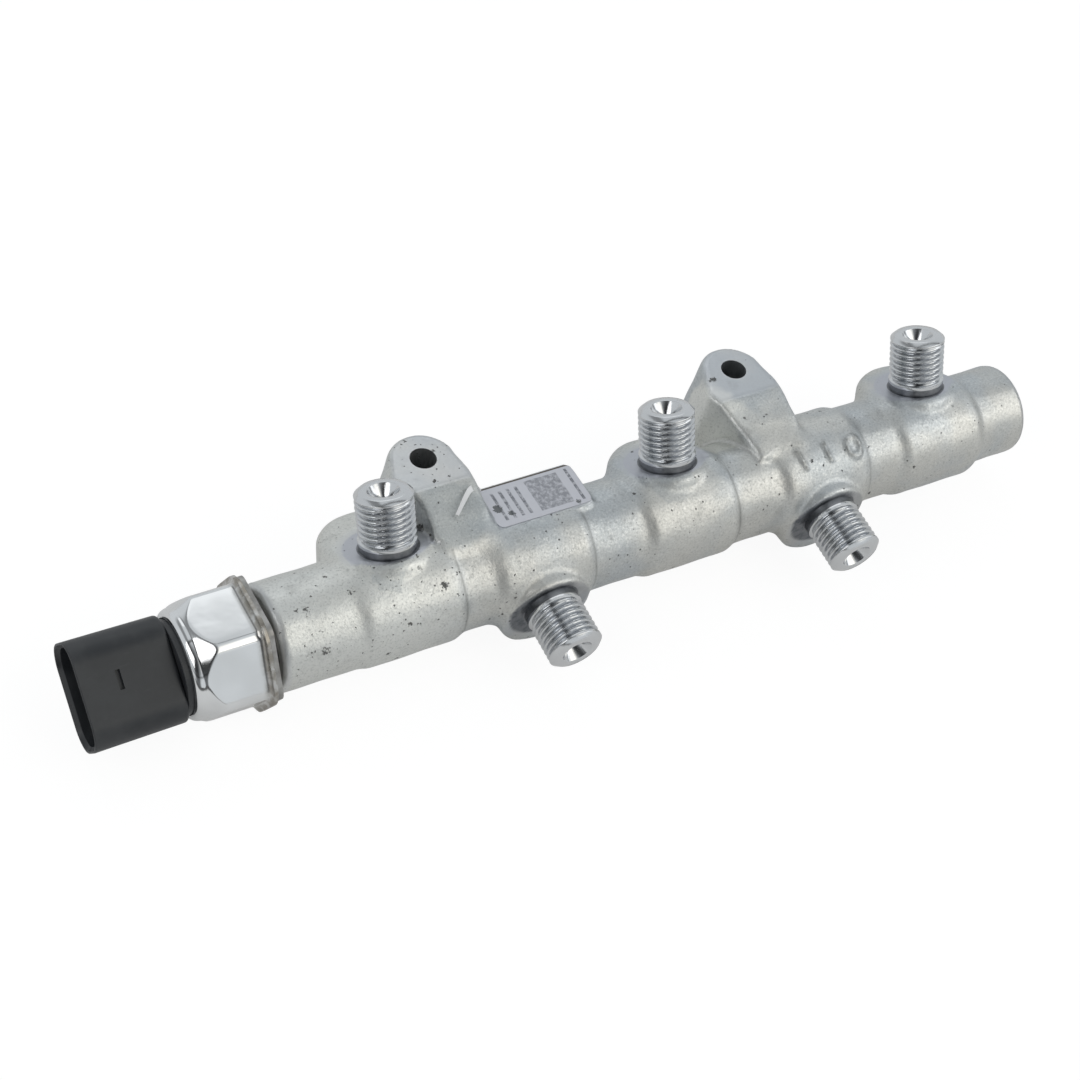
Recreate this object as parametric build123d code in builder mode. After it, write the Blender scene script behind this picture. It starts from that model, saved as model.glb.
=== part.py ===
from build123d import *
import os
from math import cos, radians, sin, tan

os.makedirs("parts", exist_ok=True)

# Frame: Z runs up along the two mounting bolts, X along the rail from the sensor to the blind end.
# The origin is midway between the bolt holes, on the plane the lugs stand on.

# Mounting lugs
bolt_spacing = 89.0
bolt_hole_r = 3.3
bolt_to_rail = 22.5
rail_height = 15.5
pad_above_rail = 19.3
lug_nose_r = 8.3
lug_draft = 6.0
lug_edge_r = 1.5
lug_corner_r = 4.0
lug_flare = 2.9
lug_flare_back = 5.4
pad_depth = 8.8
crease_r = 4.0
slope_angle = 18.5
slope_left = 5.8
slope_right = 8.6
lug_bulge = 0.9
lug_bulge_back = 6.5

# Forged body
base_r = 13.2
neck_r = 12.8
collar_r = 13.95
end_r = 12.05
collar_half_length = 12.5
shoulder_ramp = 1.4
shoulder_round = 2.0
rail_start = -95.0
rail_stop = 121.7
start_chamfer = 1.1
end_chamfer = 0.8

# Ports along the rail
port_1_x = -61.2
port_2_x = -26.0
port_3_x = 15.8
port_4_x = 56.2
port_5_x = 93.4
upright_lean = 23.7
slanted_drop = 6.3

# Bosses under the nipples
seat_height = 13.9
boss_r = 13.0
boss_set_back = 3.8
boss_draft = 4.0
boss_round = 3.0
boss_1_reach = 5.6
slanted_boss_r = 12.0
slanted_boss_round = 1.4
slanted_set_down = 3.4
slanted_seat_height = 14.6
spot_face_r = 10.6

# Nipples, threaded M14 outside, with a 60 degree sealing cone
thread_r = 7.0
nipple_root = 3.0
tip_height = 28.7
tip_chamfer = 0.9
cone_mouth_r = 3.85
cone_half_angle = 30.0
feed_r = 1.5

# Bores inside the rail
gallery_r = 5.0
gallery_stop = 105.0
drill_point = 2.9
sensor_thread_r = 9.0
thread_clearance = 0.05
thread_depth = 15.0
thread_chamfer = 0.6
seat_depth = 2.5

# Flat for the label, and the foil on it
flat_x = -21.8
flat_length = 26.6
flat_width = 13.8
flat_back = 13.2
flat_rise = 14.0
flat_draft = 6.0
flat_corner_r = 2.4
foil_length = 25.6
foil_width = 12.6
foil_thickness = 0.12
foil_corner_r = 1.6

# Sensor stations, counted outwards from the end face of the rail
neck_start = 0.3
flange_start = 1.6
can_start = 2.9
can_body_start = 3.9
can_body_stop = 13.5
can_round_stop = 18.7
can_stop = 20.8
shroud_start = 22.2
shroud_stop = 44.4

# Sensor port
port_neck_r = 10.4
port_flange_across = 29.4
port_flange_corner_r = 3.0
port_seat_gap = 0.03
pressure_bore_r = 1.2
platform_r = 9.9
platform_stop = 4.4

# Can
can_across = 27.5
can_flange_width = 1.75
can_flange_corner_r = 2.2
can_wall = 1.0
can_corner_r = 1.3
can_shoulder_r = 15.9
can_end_r = 13.3
can_lip_r = 11.45
can_lip_thickness = 0.8
can_crimp_r = 1.4
can_flare_edge = 0.35

# Electronics
cup_r = 4.6
cup_height = 4.5
cup_wall = 1.1
cup_roof = 0.7
cup_foot = 0.9
ring_bore_r = 10.3
ring_r = 12.2
board_start = 9.3
board_thickness = 1.2
board_r = 11.6
window_r = 3.2
chip_size = 4.0
chip_thickness = 1.0
chip_from_axis = 6.0
spring_half_length = 0.9
spring_strip = 0.16
spring_width = 1.2
seal_depth = 1.18
spring_from_axis = 5.6

# Connector
skirt_bore_r = 9.4
cavity_stop = 13.4
flange_stop = 17.6
flange_r = 12.1
base_neck_r = 12.0
groove_r = 11.1
cap_r = 11.3
shroud_height = 25.5
shroud_width = 16.8
shroud_corner_r = 6.2
shroud_wall = 1.3
mouth_round = 0.4
shroud_tilt = 54.2
socket_floor = 25.4
slot_start = 34.9
slot_width = 1.0
slot_length = 4.4
slot_offset = 1.2
slot_depth = 0.9
terminal_pitch = 5.0
terminal_width = 1.6
terminal_thickness = 0.8
terminal_stop = 36.0
terminal_tip = 1.2

pad_z = rail_height + pad_above_rail
rail_line = Axis((0, -bolt_to_rail, rail_height), (1, 0, 0))
side_plane = Plane(origin=(0, -bolt_to_rail, rail_height), x_dir=(1, 0, 0), z_dir=(0, -1, 0))
upright_axis = (0, sin(radians(upright_lean)), cos(radians(upright_lean)))
slanted_axis = (0, -cos(radians(slanted_drop)), -sin(radians(slanted_drop)))

# Each port has its own plane: the origin is on the rail's axis and Z runs along the nipple
port_1 = Plane(origin=(port_1_x, -bolt_to_rail, rail_height), x_dir=(1, 0, 0), z_dir=upright_axis)
port_2 = Plane(origin=(port_2_x, -bolt_to_rail, rail_height), x_dir=(1, 0, 0), z_dir=slanted_axis)
port_3 = Plane(origin=(port_3_x, -bolt_to_rail, rail_height), x_dir=(1, 0, 0), z_dir=upright_axis)
port_4 = Plane(origin=(port_4_x, -bolt_to_rail, rail_height), x_dir=(1, 0, 0), z_dir=slanted_axis)
port_5 = Plane(origin=(port_5_x, -bolt_to_rail, rail_height), x_dir=(1, 0, 0), z_dir=upright_axis)
upright_ports = [port_1.location, port_3.location, port_5.location]
slanted_ports = [port_2.location, port_4.location]

# Sensor planes on the rail's end face: one for the hexagons, one for the tilted connector
hex_plane = Plane(origin=(rail_start, -bolt_to_rail, rail_height), x_dir=(0, -1, 0), z_dir=(-1, 0, 0))
plug_plane = Plane(
    origin=(rail_start, -bolt_to_rail, rail_height),
    x_dir=(0, -cos(radians(shroud_tilt)), sin(radians(shroud_tilt))),
    z_dir=(-1, 0, 0),
)
turning_plane = Plane(origin=(rail_start, -bolt_to_rail, rail_height), x_dir=(-1, 0, 0), z_dir=(0, -1, 0))

# Outline of the turned body: radius against length, with a collar at each port
outline = [(rail_start, 0), (rail_start, base_r)]
for port_x in (port_1_x, port_2_x, port_3_x, port_4_x, port_5_x):
    foot_r = base_r if port_x == port_1_x else neck_r
    after_r = end_r if port_x == port_5_x else neck_r
    outline += [
        (port_x - collar_half_length - shoulder_ramp, foot_r),
        (port_x - collar_half_length + shoulder_ramp, collar_r),
        (port_x + collar_half_length - shoulder_ramp, collar_r),
        (port_x + collar_half_length + shoulder_ramp, after_r),
    ]
outline += [(rail_stop, end_r), (rail_stop, 0)]

# Forged bosses in the frame of their port
boss_spread = seat_height * tan(radians(boss_draft))
with BuildPart() as boss:
    with BuildSketch() as boss_foot:
        with Locations((0, boss_set_back)):
            Circle(boss_r + boss_spread)
    extrude(amount=seat_height, taper=boss_draft)
    fillet(boss.edges().group_by(Axis.Z)[-1], radius=boss_round)

with BuildPart() as long_boss:
    with BuildSketch() as long_boss_foot:
        with Locations((0, boss_set_back + boss_1_reach / 2)):
            SlotCenterToCenter(boss_1_reach, 2 * (boss_r + boss_spread), rotation=90)
    extrude(amount=seat_height, taper=boss_draft)
    fillet(long_boss.edges().group_by(Axis.Z)[-1], radius=boss_round)

with BuildPart() as slanted_boss:
    with BuildSketch() as slanted_foot:
        with Locations((0, -slanted_set_down)):
            Circle(slanted_boss_r + boss_spread)
    extrude(amount=slanted_seat_height, taper=boss_draft)
    fillet(slanted_boss.edges().group_by(Axis.Z)[-1], radius=slanted_boss_round)

# Lug in the frame of its bolt, drafted both ways from the parting plane at the rail's axis
parting_r = lug_nose_r + pad_above_rail * tan(radians(lug_draft))
slope_run = bolt_to_rail - pad_depth + 3.0
slope_drop = slope_run * tan(radians(slope_angle))
lug_reach = bolt_to_rail + 7.5
with BuildPart() as lug:
    with BuildSketch(Plane.XY.offset(rail_height)) as lug_plan:
        with BuildLine():
            Polyline(
                (-parting_r * cos(radians(17)), parting_r * sin(radians(17))),
                (-parting_r - lug_flare, -lug_flare_back),
                (-parting_r + lug_nose_r - slope_left, -bolt_to_rail),
                (-parting_r + lug_nose_r - slope_left, -lug_reach),
                (parting_r - lug_nose_r + slope_right, -lug_reach),
                (parting_r + lug_bulge, -lug_bulge_back),
                (parting_r, 0),
                (0, 0),
                close=True,
            )
        make_face()
        Circle(parting_r)
        fillet(lug_plan.vertices().group_by(Axis.X)[0], radius=lug_corner_r)
        fillet(lug_plan.vertices().group_by(Axis.X)[-1], radius=2 * lug_corner_r)
    extrude(amount=pad_above_rail, taper=lug_draft)
    mirror(about=Plane.XY.offset(rail_height))
    with BuildSketch(Plane.YZ) as lug_side:
        with BuildLine():
            Polyline(
                (parting_r + 1, 0),
                (-lug_nose_r - 1, 0),
                (-bolt_to_rail + 0.64 * neck_r, rail_height - 0.77 * neck_r),
                (-bolt_to_rail, rail_height),
                (-pad_depth - slope_run, pad_z - slope_drop),
                (-pad_depth, pad_z),
                (parting_r + 1, pad_z),
                close=True,
            )
        make_face()
        fillet(lug_side.vertices().filter_by(lambda v: v.Y > pad_z - 0.01).sort_by(Axis.X)[0], radius=crease_r)
    extrude(amount=lug_reach, both=True, mode=Mode.INTERSECT)
    top_faces = lug.faces().filter_by(lambda f: f.normal_at().Z > 0.9)
    rims = top_faces.edges().filter_by(lambda e: abs(e.center().X) > 4 or e.center().Y > 0)
    fillet(rims, radius=lug_edge_r)

# Raised flat for the label
flat_spread = flat_rise * tan(radians(flat_draft))
flat_y = flat_back - flat_width / 2
with BuildPart() as label_flat:
    with BuildSketch(Plane((flat_x, -bolt_to_rail, rail_height))):
        with Locations((0, flat_y)):
            RectangleRounded(
                flat_length + 2 * flat_spread, flat_width + 2 * flat_spread, flat_corner_r + flat_spread
            )
    extrude(amount=flat_rise, taper=flat_draft)

# Nipple turned about its own axis, and the passage with its cone
cone_depth = (cone_mouth_r - feed_r) / tan(radians(cone_half_angle))
with BuildPart() as nipple:
    with BuildSketch(Plane.XZ):
        with BuildLine():
            Polyline(
                (0, seat_height - nipple_root),
                (thread_r, seat_height - nipple_root),
                (thread_r, tip_height - tip_chamfer),
                (thread_r - tip_chamfer, tip_height),
                (0, tip_height),
                close=True,
            )
        make_face()
    revolve(axis=Axis.Z)

with BuildPart() as passage:
    with BuildSketch(Plane.XZ):
        with BuildLine():
            Polyline(
                (0, 0),
                (feed_r, 0),
                (feed_r, tip_height - cone_depth),
                (cone_mouth_r, tip_height),
                (cone_mouth_r, tip_height + 1),
                (0, tip_height + 1),
                close=True,
            )
        make_face()
    revolve(axis=Axis.Z)

with BuildPart() as spot_face:
    with BuildSketch(Plane.XY.offset(seat_height)):
        Circle(spot_face_r)
    extrude(amount=tip_height - seat_height)

with BuildPart() as slanted_spot_face:
    with BuildSketch(Plane.XY.offset(slanted_seat_height)):
        Circle(spot_face_r)
    extrude(amount=tip_height - slanted_seat_height)

# Gallery, sensor thread and sensor seat, bored from the sensor end
bore_r = sensor_thread_r + thread_clearance
thread_stop = rail_start + thread_depth
with BuildPart() as gallery:
    with BuildSketch(side_plane):
        with BuildLine():
            Polyline(
                (rail_start, 0),
                (rail_start, bore_r + thread_chamfer),
                (rail_start + thread_chamfer, bore_r),
                (thread_stop, bore_r),
                (thread_stop + seat_depth, gallery_r),
                (gallery_stop, gallery_r),
                (gallery_stop + drill_point, 0),
                close=True,
            )
        make_face()
    revolve(axis=rail_line)

with BuildPart() as rail_body:
    with BuildSketch(side_plane) as body_outline:
        with BuildLine():
            Polyline(*outline, close=True)
        make_face()
        rim_points = body_outline.vertices().filter_by(lambda v: v.Y > 1)
        chamfer(rim_points.sort_by(Axis.X)[:1], start_chamfer)
        chamfer(rim_points.sort_by(Axis.X)[-1:], end_chamfer)
        fillet(rim_points.sort_by(Axis.X)[1:-1], radius=shoulder_round)
    revolve(axis=rail_line)
    with Locations(port_1.location):
        add(long_boss.part)
    with Locations(port_3.location, port_5.location):
        add(boss.part)
    with Locations(*slanted_ports):
        add(slanted_boss.part)
    with Locations((-bolt_spacing / 2, 0, 0), (bolt_spacing / 2, 0, 0)):
        add(lug.part)
    add(label_flat.part)
    with Locations(*upright_ports):
        add(spot_face.part, mode=Mode.SUBTRACT)
    with Locations(*slanted_ports):
        add(slanted_spot_face.part, mode=Mode.SUBTRACT)
    with Locations(*upright_ports, *slanted_ports):
        add(nipple.part)
    with Locations(*upright_ports, *slanted_ports):
        add(passage.part, mode=Mode.SUBTRACT)
    add(gallery.part, mode=Mode.SUBTRACT)
    with Locations((-bolt_spacing / 2, 0, pad_z), (bolt_spacing / 2, 0, pad_z)):
        Hole(radius=bolt_hole_r, depth=pad_z)
rail_body.part.label = "rail_body"
export_step(rail_body.part, "parts/rail_body.step")

# Foil label: a thin sheet on the flat
foil_z = rail_height + flat_rise
foil_y = -bolt_to_rail + flat_y
with BuildPart() as label_foil:
    with BuildSketch(Plane((flat_x, foil_y, foil_z))):
        RectangleRounded(foil_length, foil_width, foil_corner_r)
    extrude(amount=foil_thickness)
label_foil.part.label = "label_foil"
export_step(label_foil.part, "parts/label_foil.step")

# Sensor port: nose, thread, neck, hex flange and the platform that carries the pressure cup
nose_stop = -thread_depth - seat_depth + 0.4
nose_slope = (bore_r - gallery_r) / seat_depth
nose_r = bore_r - nose_slope * (-thread_depth - nose_stop) - port_seat_gap
with BuildPart() as sensor_port:
    with BuildSketch(turning_plane):
        with BuildLine():
            Polyline(
                (nose_stop, 0),
                (nose_stop, nose_r),
                (-thread_depth, bore_r - port_seat_gap - 0.6),
                (-thread_depth + 1.2, sensor_thread_r),
                (neck_start, sensor_thread_r),
                (neck_start, port_neck_r),
                (flange_start, port_neck_r),
                (flange_start, platform_r),
                (platform_stop, platform_r),
                (platform_stop, 0),
                close=True,
            )
        make_face()
    revolve(axis=rail_line)
    with BuildSketch(hex_plane.offset(flange_start)) as port_hexagon:
        RegularPolygon(port_flange_across / 2, 6, major_radius=False)
        fillet(port_hexagon.vertices(), radius=port_flange_corner_r)
    extrude(amount=can_start - flange_start)
    with Locations(hex_plane.offset(platform_stop).location):
        Hole(radius=pressure_bore_r, depth=platform_stop - nose_stop)
sensor_port.part.label = "sensor_port"
export_step(sensor_port.part, "parts/sensor_port.step")

# Can: a drawn hexagon whose corners are pressed round where it is crimped over the connector
can_flare = can_flange_width - can_flare_edge
with BuildPart() as can_outside:
    with BuildSketch(hex_plane.offset(can_start)) as can_hexagon:
        RegularPolygon(can_across / 2, 6, major_radius=False)
        fillet(can_hexagon.vertices(), radius=can_corner_r)
    extrude(amount=can_stop - can_start)
    with BuildSketch(turning_plane):
        with BuildLine():
            Polyline(
                (can_stop, can_end_r - can_crimp_r),
                (can_stop, 0),
                (can_start, 0),
                (can_start, can_shoulder_r),
                (can_body_stop, can_shoulder_r),
                (can_round_stop, can_end_r),
            )
            Spline(
                (can_round_stop, can_end_r),
                (can_stop, can_end_r - can_crimp_r),
                tangents=((can_round_stop - can_body_stop, can_end_r - can_shoulder_r), (0.2, -1)),
            )
        make_face()
    revolve(axis=rail_line, mode=Mode.INTERSECT)

with BuildPart() as can_inside:
    with BuildSketch(hex_plane.offset(can_start)) as inner_hexagon:
        RegularPolygon(can_across / 2 - can_wall, 6, major_radius=False)
        fillet(inner_hexagon.vertices(), radius=can_corner_r)
    extrude(amount=can_stop - can_start)
    with BuildSketch(turning_plane):
        with BuildLine():
            Polyline(
                (can_start, 0),
                (can_start, can_shoulder_r - can_wall),
                (can_body_stop, can_shoulder_r - can_wall),
                (can_round_stop, can_end_r - can_wall),
                (can_stop - can_lip_thickness, can_end_r - can_wall),
                (can_stop - can_lip_thickness, can_lip_r),
                (can_stop, can_lip_r),
                (can_stop, 0),
                close=True,
            )
        make_face()
    revolve(axis=rail_line, mode=Mode.INTERSECT)

with BuildPart() as sensor_can:
    with BuildSketch(hex_plane.offset(can_start)) as can_flange:
        RegularPolygon(can_across / 2 + can_flange_width, 6, major_radius=False)
        fillet(can_flange.vertices(), radius=can_flange_corner_r)
    extrude(amount=can_body_start - can_start)
    add(can_outside.part)
    flange_x = rail_start - can_body_start
    flange_face = sensor_can.faces().filter_by(lambda f: abs(f.center().X - flange_x) < 0.01)[0]
    fillet(flange_face.inner_wires()[0].edges(), radius=can_flare)
    add(can_inside.part, mode=Mode.SUBTRACT)
sensor_can.part.label = "sensor_can"
export_step(sensor_can.part, "parts/sensor_can.step")

# Steel cup whose roof bends under the fuel pressure
cup_stop = platform_stop + cup_height
with BuildPart() as sensing_element:
    with BuildSketch(turning_plane):
        with BuildLine():
            Polyline(
                (platform_stop, cup_r - cup_wall),
                (platform_stop, cup_r + cup_foot),
                (platform_stop + cup_foot, cup_r + cup_foot),
                (platform_stop + cup_foot, cup_r),
                (cup_stop, cup_r),
                (cup_stop, 0),
                (cup_stop - cup_roof, 0),
                (cup_stop - cup_roof, cup_r - cup_wall),
                close=True,
            )
        make_face()
    revolve(axis=rail_line)
sensing_element.part.label = "sensing_element"
export_step(sensing_element.part, "parts/sensing_element.step")

with BuildPart() as support_ring:
    with BuildSketch(hex_plane.offset(can_start)):
        Circle(ring_r)
        Circle(ring_bore_r, mode=Mode.SUBTRACT)
    extrude(amount=board_start - can_start)
support_ring.part.label = "support_ring"
export_step(support_ring.part, "parts/support_ring.step")

with BuildPart() as circuit_board:
    with BuildSketch(plug_plane.offset(board_start)):
        Circle(board_r)
        Circle(window_r, mode=Mode.SUBTRACT)
    extrude(amount=board_thickness)
circuit_board.part.label = "circuit_board"
export_step(circuit_board.part, "parts/circuit_board.step")

base_start = board_start + board_thickness
with BuildPart() as signal_chip:
    with BuildSketch(plug_plane.offset(base_start)):
        with Locations((-chip_from_axis, 0)):
            Rectangle(chip_size, chip_size)
    extrude(amount=chip_thickness)
signal_chip.part.label = "signal_chip"
export_step(signal_chip.part, "parts/signal_chip.step")

# Contact springs between the board and the feet of the terminals: strip bent to an S
spring_height = cavity_stop - base_start
spring_turn = spring_height / 2 - spring_strip / 2
with BuildPart() as contact_spring:
    with BuildSketch(Plane.XZ):
        with BuildLine() as spring_bends:
            FilletPolyline(
                (-spring_half_length, spring_strip / 2),
                (spring_half_length, spring_strip / 2),
                (spring_half_length, spring_height / 2),
                (-spring_half_length, spring_height / 2),
                (-spring_half_length, spring_height - spring_strip / 2),
                (spring_half_length, spring_height - spring_strip / 2),
                radius=0.49 * spring_turn,
            )
        trace(line_width=spring_strip)
    extrude(amount=spring_width / 2, both=True)

spring_places = []
terminal_places = []
for place in (-terminal_pitch, 0, terminal_pitch):
    spring_places.append(plug_plane.offset(base_start).location * Location((spring_from_axis, place, 0)))
    terminal_places.append(plug_plane.offset(cavity_stop).location * Location((0, place, 0)))

with BuildPart() as contact_spring_1:
    with Locations(spring_places[0]):
        add(contact_spring.part)
contact_spring_1.part.label = "contact_spring_1"
export_step(contact_spring_1.part, "parts/contact_spring_1.step")

with BuildPart() as contact_spring_2:
    with Locations(spring_places[1]):
        add(contact_spring.part)
contact_spring_2.part.label = "contact_spring_2"
export_step(contact_spring_2.part, "parts/contact_spring_2.step")

with BuildPart() as contact_spring_3:
    with Locations(spring_places[2]):
        add(contact_spring.part)
contact_spring_3.part.label = "contact_spring_3"
export_step(contact_spring_3.part, "parts/contact_spring_3.step")

# Terminal: a blade in the socket and a foot that reaches over its spring
terminal_height = terminal_stop - cavity_stop
with BuildPart() as terminal:
    with BuildSketch(Plane.XZ) as terminal_side:
        with BuildLine():
            Polyline(
                (-terminal_thickness / 2, 0),
                (spring_from_axis + spring_half_length, 0),
                (spring_from_axis + spring_half_length, terminal_thickness),
                (terminal_thickness / 2, terminal_thickness),
                (terminal_thickness / 2, terminal_height - terminal_tip),
                (terminal_thickness / 4, terminal_height),
                (-terminal_thickness / 4, terminal_height),
                (-terminal_thickness / 2, terminal_height - terminal_tip),
                close=True,
            )
        make_face()
    extrude(amount=terminal_width / 2, both=True)

with BuildPart() as terminal_1:
    with Locations(terminal_places[0]):
        add(terminal.part)
terminal_1.part.label = "terminal_1"
export_step(terminal_1.part, "parts/terminal_1.step")

with BuildPart() as terminal_2:
    with Locations(terminal_places[1]):
        add(terminal.part)
terminal_2.part.label = "terminal_2"
export_step(terminal_2.part, "parts/terminal_2.step")

with BuildPart() as terminal_3:
    with Locations(terminal_places[2]):
        add(terminal.part)
terminal_3.part.label = "terminal_3"
export_step(terminal_3.part, "parts/terminal_3.step")

# Connector: a turned base held under the crimp, an oval shroud and its socket
groove_stop = can_stop - can_lip_thickness
with BuildPart() as connector_housing:
    with BuildSketch(turning_plane):
        with BuildLine():
            Polyline(
                (base_start, skirt_bore_r),
                (base_start, flange_r),
                (flange_stop, flange_r),
                (can_round_stop, base_neck_r),
                (can_round_stop, groove_r),
                (groove_stop, groove_r),
                (groove_stop, cap_r),
                (shroud_start, cap_r),
                (shroud_start, 0),
                (cavity_stop, 0),
                (cavity_stop, skirt_bore_r),
                close=True,
            )
        make_face()
    revolve(axis=rail_line)
    with BuildSketch(plug_plane.offset(shroud_start)):
        RectangleRounded(shroud_width, shroud_height, shroud_corner_r)
    extrude(amount=shroud_stop - shroud_start)
    fillet(connector_housing.edges().group_by(Axis.X)[0], radius=mouth_round)
    with BuildSketch(plug_plane.offset(socket_floor)):
        RectangleRounded(
            shroud_width - 2 * shroud_wall, shroud_height - 2 * shroud_wall, shroud_corner_r - shroud_wall
        )
    extrude(amount=shroud_stop - socket_floor, mode=Mode.SUBTRACT)
    with BuildSketch(plug_plane.offset(slot_start)):
        with Locations((shroud_width / 2 - slot_depth / 2, slot_offset)):
            Rectangle(slot_depth, slot_length)
    extrude(amount=slot_width, mode=Mode.SUBTRACT)
    with Locations(*terminal_places):
        add(terminal.part, mode=Mode.SUBTRACT)
connector_housing.part.label = "connector_housing"
export_step(connector_housing.part, "parts/connector_housing.step")

with BuildPart() as connector_seal:
    with BuildSketch(turning_plane):
        with Locations(((can_round_stop + groove_stop) / 2, groove_r + seal_depth / 2)):
            Rectangle(seal_depth, seal_depth)
    revolve(axis=rail_line)
connector_seal.part.label = "connector_seal"
export_step(connector_seal.part, "parts/connector_seal.step")
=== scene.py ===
"""Forged diesel fuel rail with five pipe nipples, two bolt lugs, a foil label and a pressure sensor.

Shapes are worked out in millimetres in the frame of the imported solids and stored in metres.
"""

import logging
import math
from dataclasses import dataclass
from enum import Enum
from typing import Any, Optional, Protocol, Sequence, Union

import bmesh
import bpy
import numpy as np
from mathutils import Matrix, Vector


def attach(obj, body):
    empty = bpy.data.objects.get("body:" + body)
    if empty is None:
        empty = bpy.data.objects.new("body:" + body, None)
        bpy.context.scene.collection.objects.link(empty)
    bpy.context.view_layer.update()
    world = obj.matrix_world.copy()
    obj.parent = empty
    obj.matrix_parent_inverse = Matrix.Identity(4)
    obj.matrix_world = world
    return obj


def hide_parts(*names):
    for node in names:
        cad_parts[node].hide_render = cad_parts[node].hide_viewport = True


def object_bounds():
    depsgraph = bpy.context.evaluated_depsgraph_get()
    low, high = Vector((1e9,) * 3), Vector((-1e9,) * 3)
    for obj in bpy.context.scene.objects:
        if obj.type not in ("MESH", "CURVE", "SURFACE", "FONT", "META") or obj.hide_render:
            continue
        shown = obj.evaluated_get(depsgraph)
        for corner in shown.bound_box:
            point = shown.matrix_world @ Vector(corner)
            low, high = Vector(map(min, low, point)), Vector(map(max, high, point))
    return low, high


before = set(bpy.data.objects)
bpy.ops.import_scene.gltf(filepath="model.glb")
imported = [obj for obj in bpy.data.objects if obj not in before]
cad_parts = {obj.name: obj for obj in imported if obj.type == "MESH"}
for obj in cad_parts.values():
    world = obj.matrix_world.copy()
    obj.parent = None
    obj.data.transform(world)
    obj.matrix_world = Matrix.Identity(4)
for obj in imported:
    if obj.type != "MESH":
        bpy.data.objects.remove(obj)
CAD_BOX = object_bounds()

MM = 0.001
log = logging.getLogger("fuel_rail")

Point = tuple[float, float, float]
Colour = tuple[float, float, float]
Pair = tuple[float, float]
Settings = Optional[dict[str, Any]]
Inputs = Optional[dict[Union[str, int], Any]]


def smooth_step(low: float, high: float, value: np.ndarray) -> np.ndarray:
    """Return 0 below low, 1 above high and the cubic 3t^2 - 2t^3 between them.

    Args:
        low: value where the step starts.
        high: value where the step ends.
        value: values to grade.

    Returns:
        The graded values.
    """
    t = np.clip((np.asarray(value, float) - low) / (high - low), 0.0, 1.0)
    return t * t * (3.0 - 2.0 * t)


def near(offset: np.ndarray, full: float, none: float) -> np.ndarray:
    """Return 1 where an offset's size is under full, falling to 0 at none."""
    return smooth_step(none, full, np.abs(offset))


def soft_min(first: np.ndarray, second: np.ndarray, blend: float) -> np.ndarray:
    """Return the smaller of two radii with a rounded change-over.

    The formula is minus blend times the logarithm of the sum of exp(-radius / blend).

    Args:
        first: first radii.
        second: second radii.
        blend: width of the rounding in millimetres.

    Returns:
        The blended radii.
    """
    least = np.minimum(first, second)
    return least - blend * np.log(np.exp(-(first - least) / blend) + np.exp(-(second - least) / blend))


@dataclass(frozen=True)
class PortFrame:
    """Origin on the rail's axis and the three directions of one port, Z along the nipple."""

    origin: np.ndarray
    x: np.ndarray
    y: np.ndarray
    z: np.ndarray

    def place(self, local: np.ndarray) -> np.ndarray:
        """Carry points from the port's own coordinates into the row frame.

        Args:
            local: points of shape (..., 3) in millimetres.

        Returns:
            The same points in the row frame.
        """
        return self.origin + local[..., :1] * self.x + local[..., 1:2] * self.y + local[..., 2:3] * self.z

    def measure(self, points: np.ndarray) -> tuple[np.ndarray, np.ndarray]:
        """Measure points along and away from the port's axis.

        Args:
            points: points of shape (n, 3) in the row frame, in millimetres.

        Returns:
            The distance along the axis and the distance from it.
        """
        offset = points - self.origin
        along = offset @ self.z
        away = np.linalg.norm(offset - along[:, None] * self.z, axis=1)
        return along, away


@dataclass(frozen=True)
class RailLayout:
    """Places of the rail's features in the row frame, in millimetres."""

    axis_y: float = -22.5
    axis_z: float = 15.5
    start: float = -95.0
    stop: float = 121.7
    gallery_stop: float = 108.2
    bore_radius: float = 9.7
    collar_radius: float = 13.95
    port_x: tuple[float, ...] = (-61.2, -26.0, 15.8, 56.2, 93.4)
    port_is_slanted: tuple[bool, ...] = (False, True, False, True, False)
    lean: float = 23.7
    drop: float = 6.3
    upright_seat: float = 13.9
    slanted_seat: float = 14.6
    tip: float = 28.7
    lug_x: tuple[float, ...] = (-44.5, 44.5)
    hole_radius: float = 3.3
    pad_z: float = 34.8
    pad_depth: float = 8.8
    flat_z: float = 29.5
    flat_x: Pair = (-35.1, -8.5)
    flat_y: Pair = (-23.1, -9.3)

    def port(self, index: int) -> PortFrame:
        """Return the frame of one port, counted from the sensor.

        Args:
            index: number of the port from 0.

        Returns:
            The port's frame.
        """
        if self.port_is_slanted[index]:
            turn = math.radians(self.drop)
            z = np.array([0.0, -math.cos(turn), -math.sin(turn)])
        else:
            turn = math.radians(self.lean)
            z = np.array([0.0, math.sin(turn), math.cos(turn)])
        x = np.array([1.0, 0.0, 0.0])
        return PortFrame(np.array([self.port_x[index], self.axis_y, self.axis_z]), x, np.cross(z, x), z)

    def seat(self, index: int) -> float:
        """Return the height of a port's seat above the rail's axis."""
        return self.slanted_seat if self.port_is_slanted[index] else self.upright_seat

    def sensor(self, turn: float) -> PortFrame:
        """Return the sensor's frame on the rail's end face, Z outwards along the rail.

        Args:
            turn: angle of the frame's X from straight forward (-Y) up towards +Z, in degrees.

        Returns:
            The frame.
        """
        angle = math.radians(turn)
        x = np.array([0.0, -math.cos(angle), math.sin(angle)])
        z = np.array([-1.0, 0.0, 0.0])
        return PortFrame(np.array([self.start, self.axis_y, self.axis_z]), x, np.cross(z, x), z)


LAYOUT = RailLayout()


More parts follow.
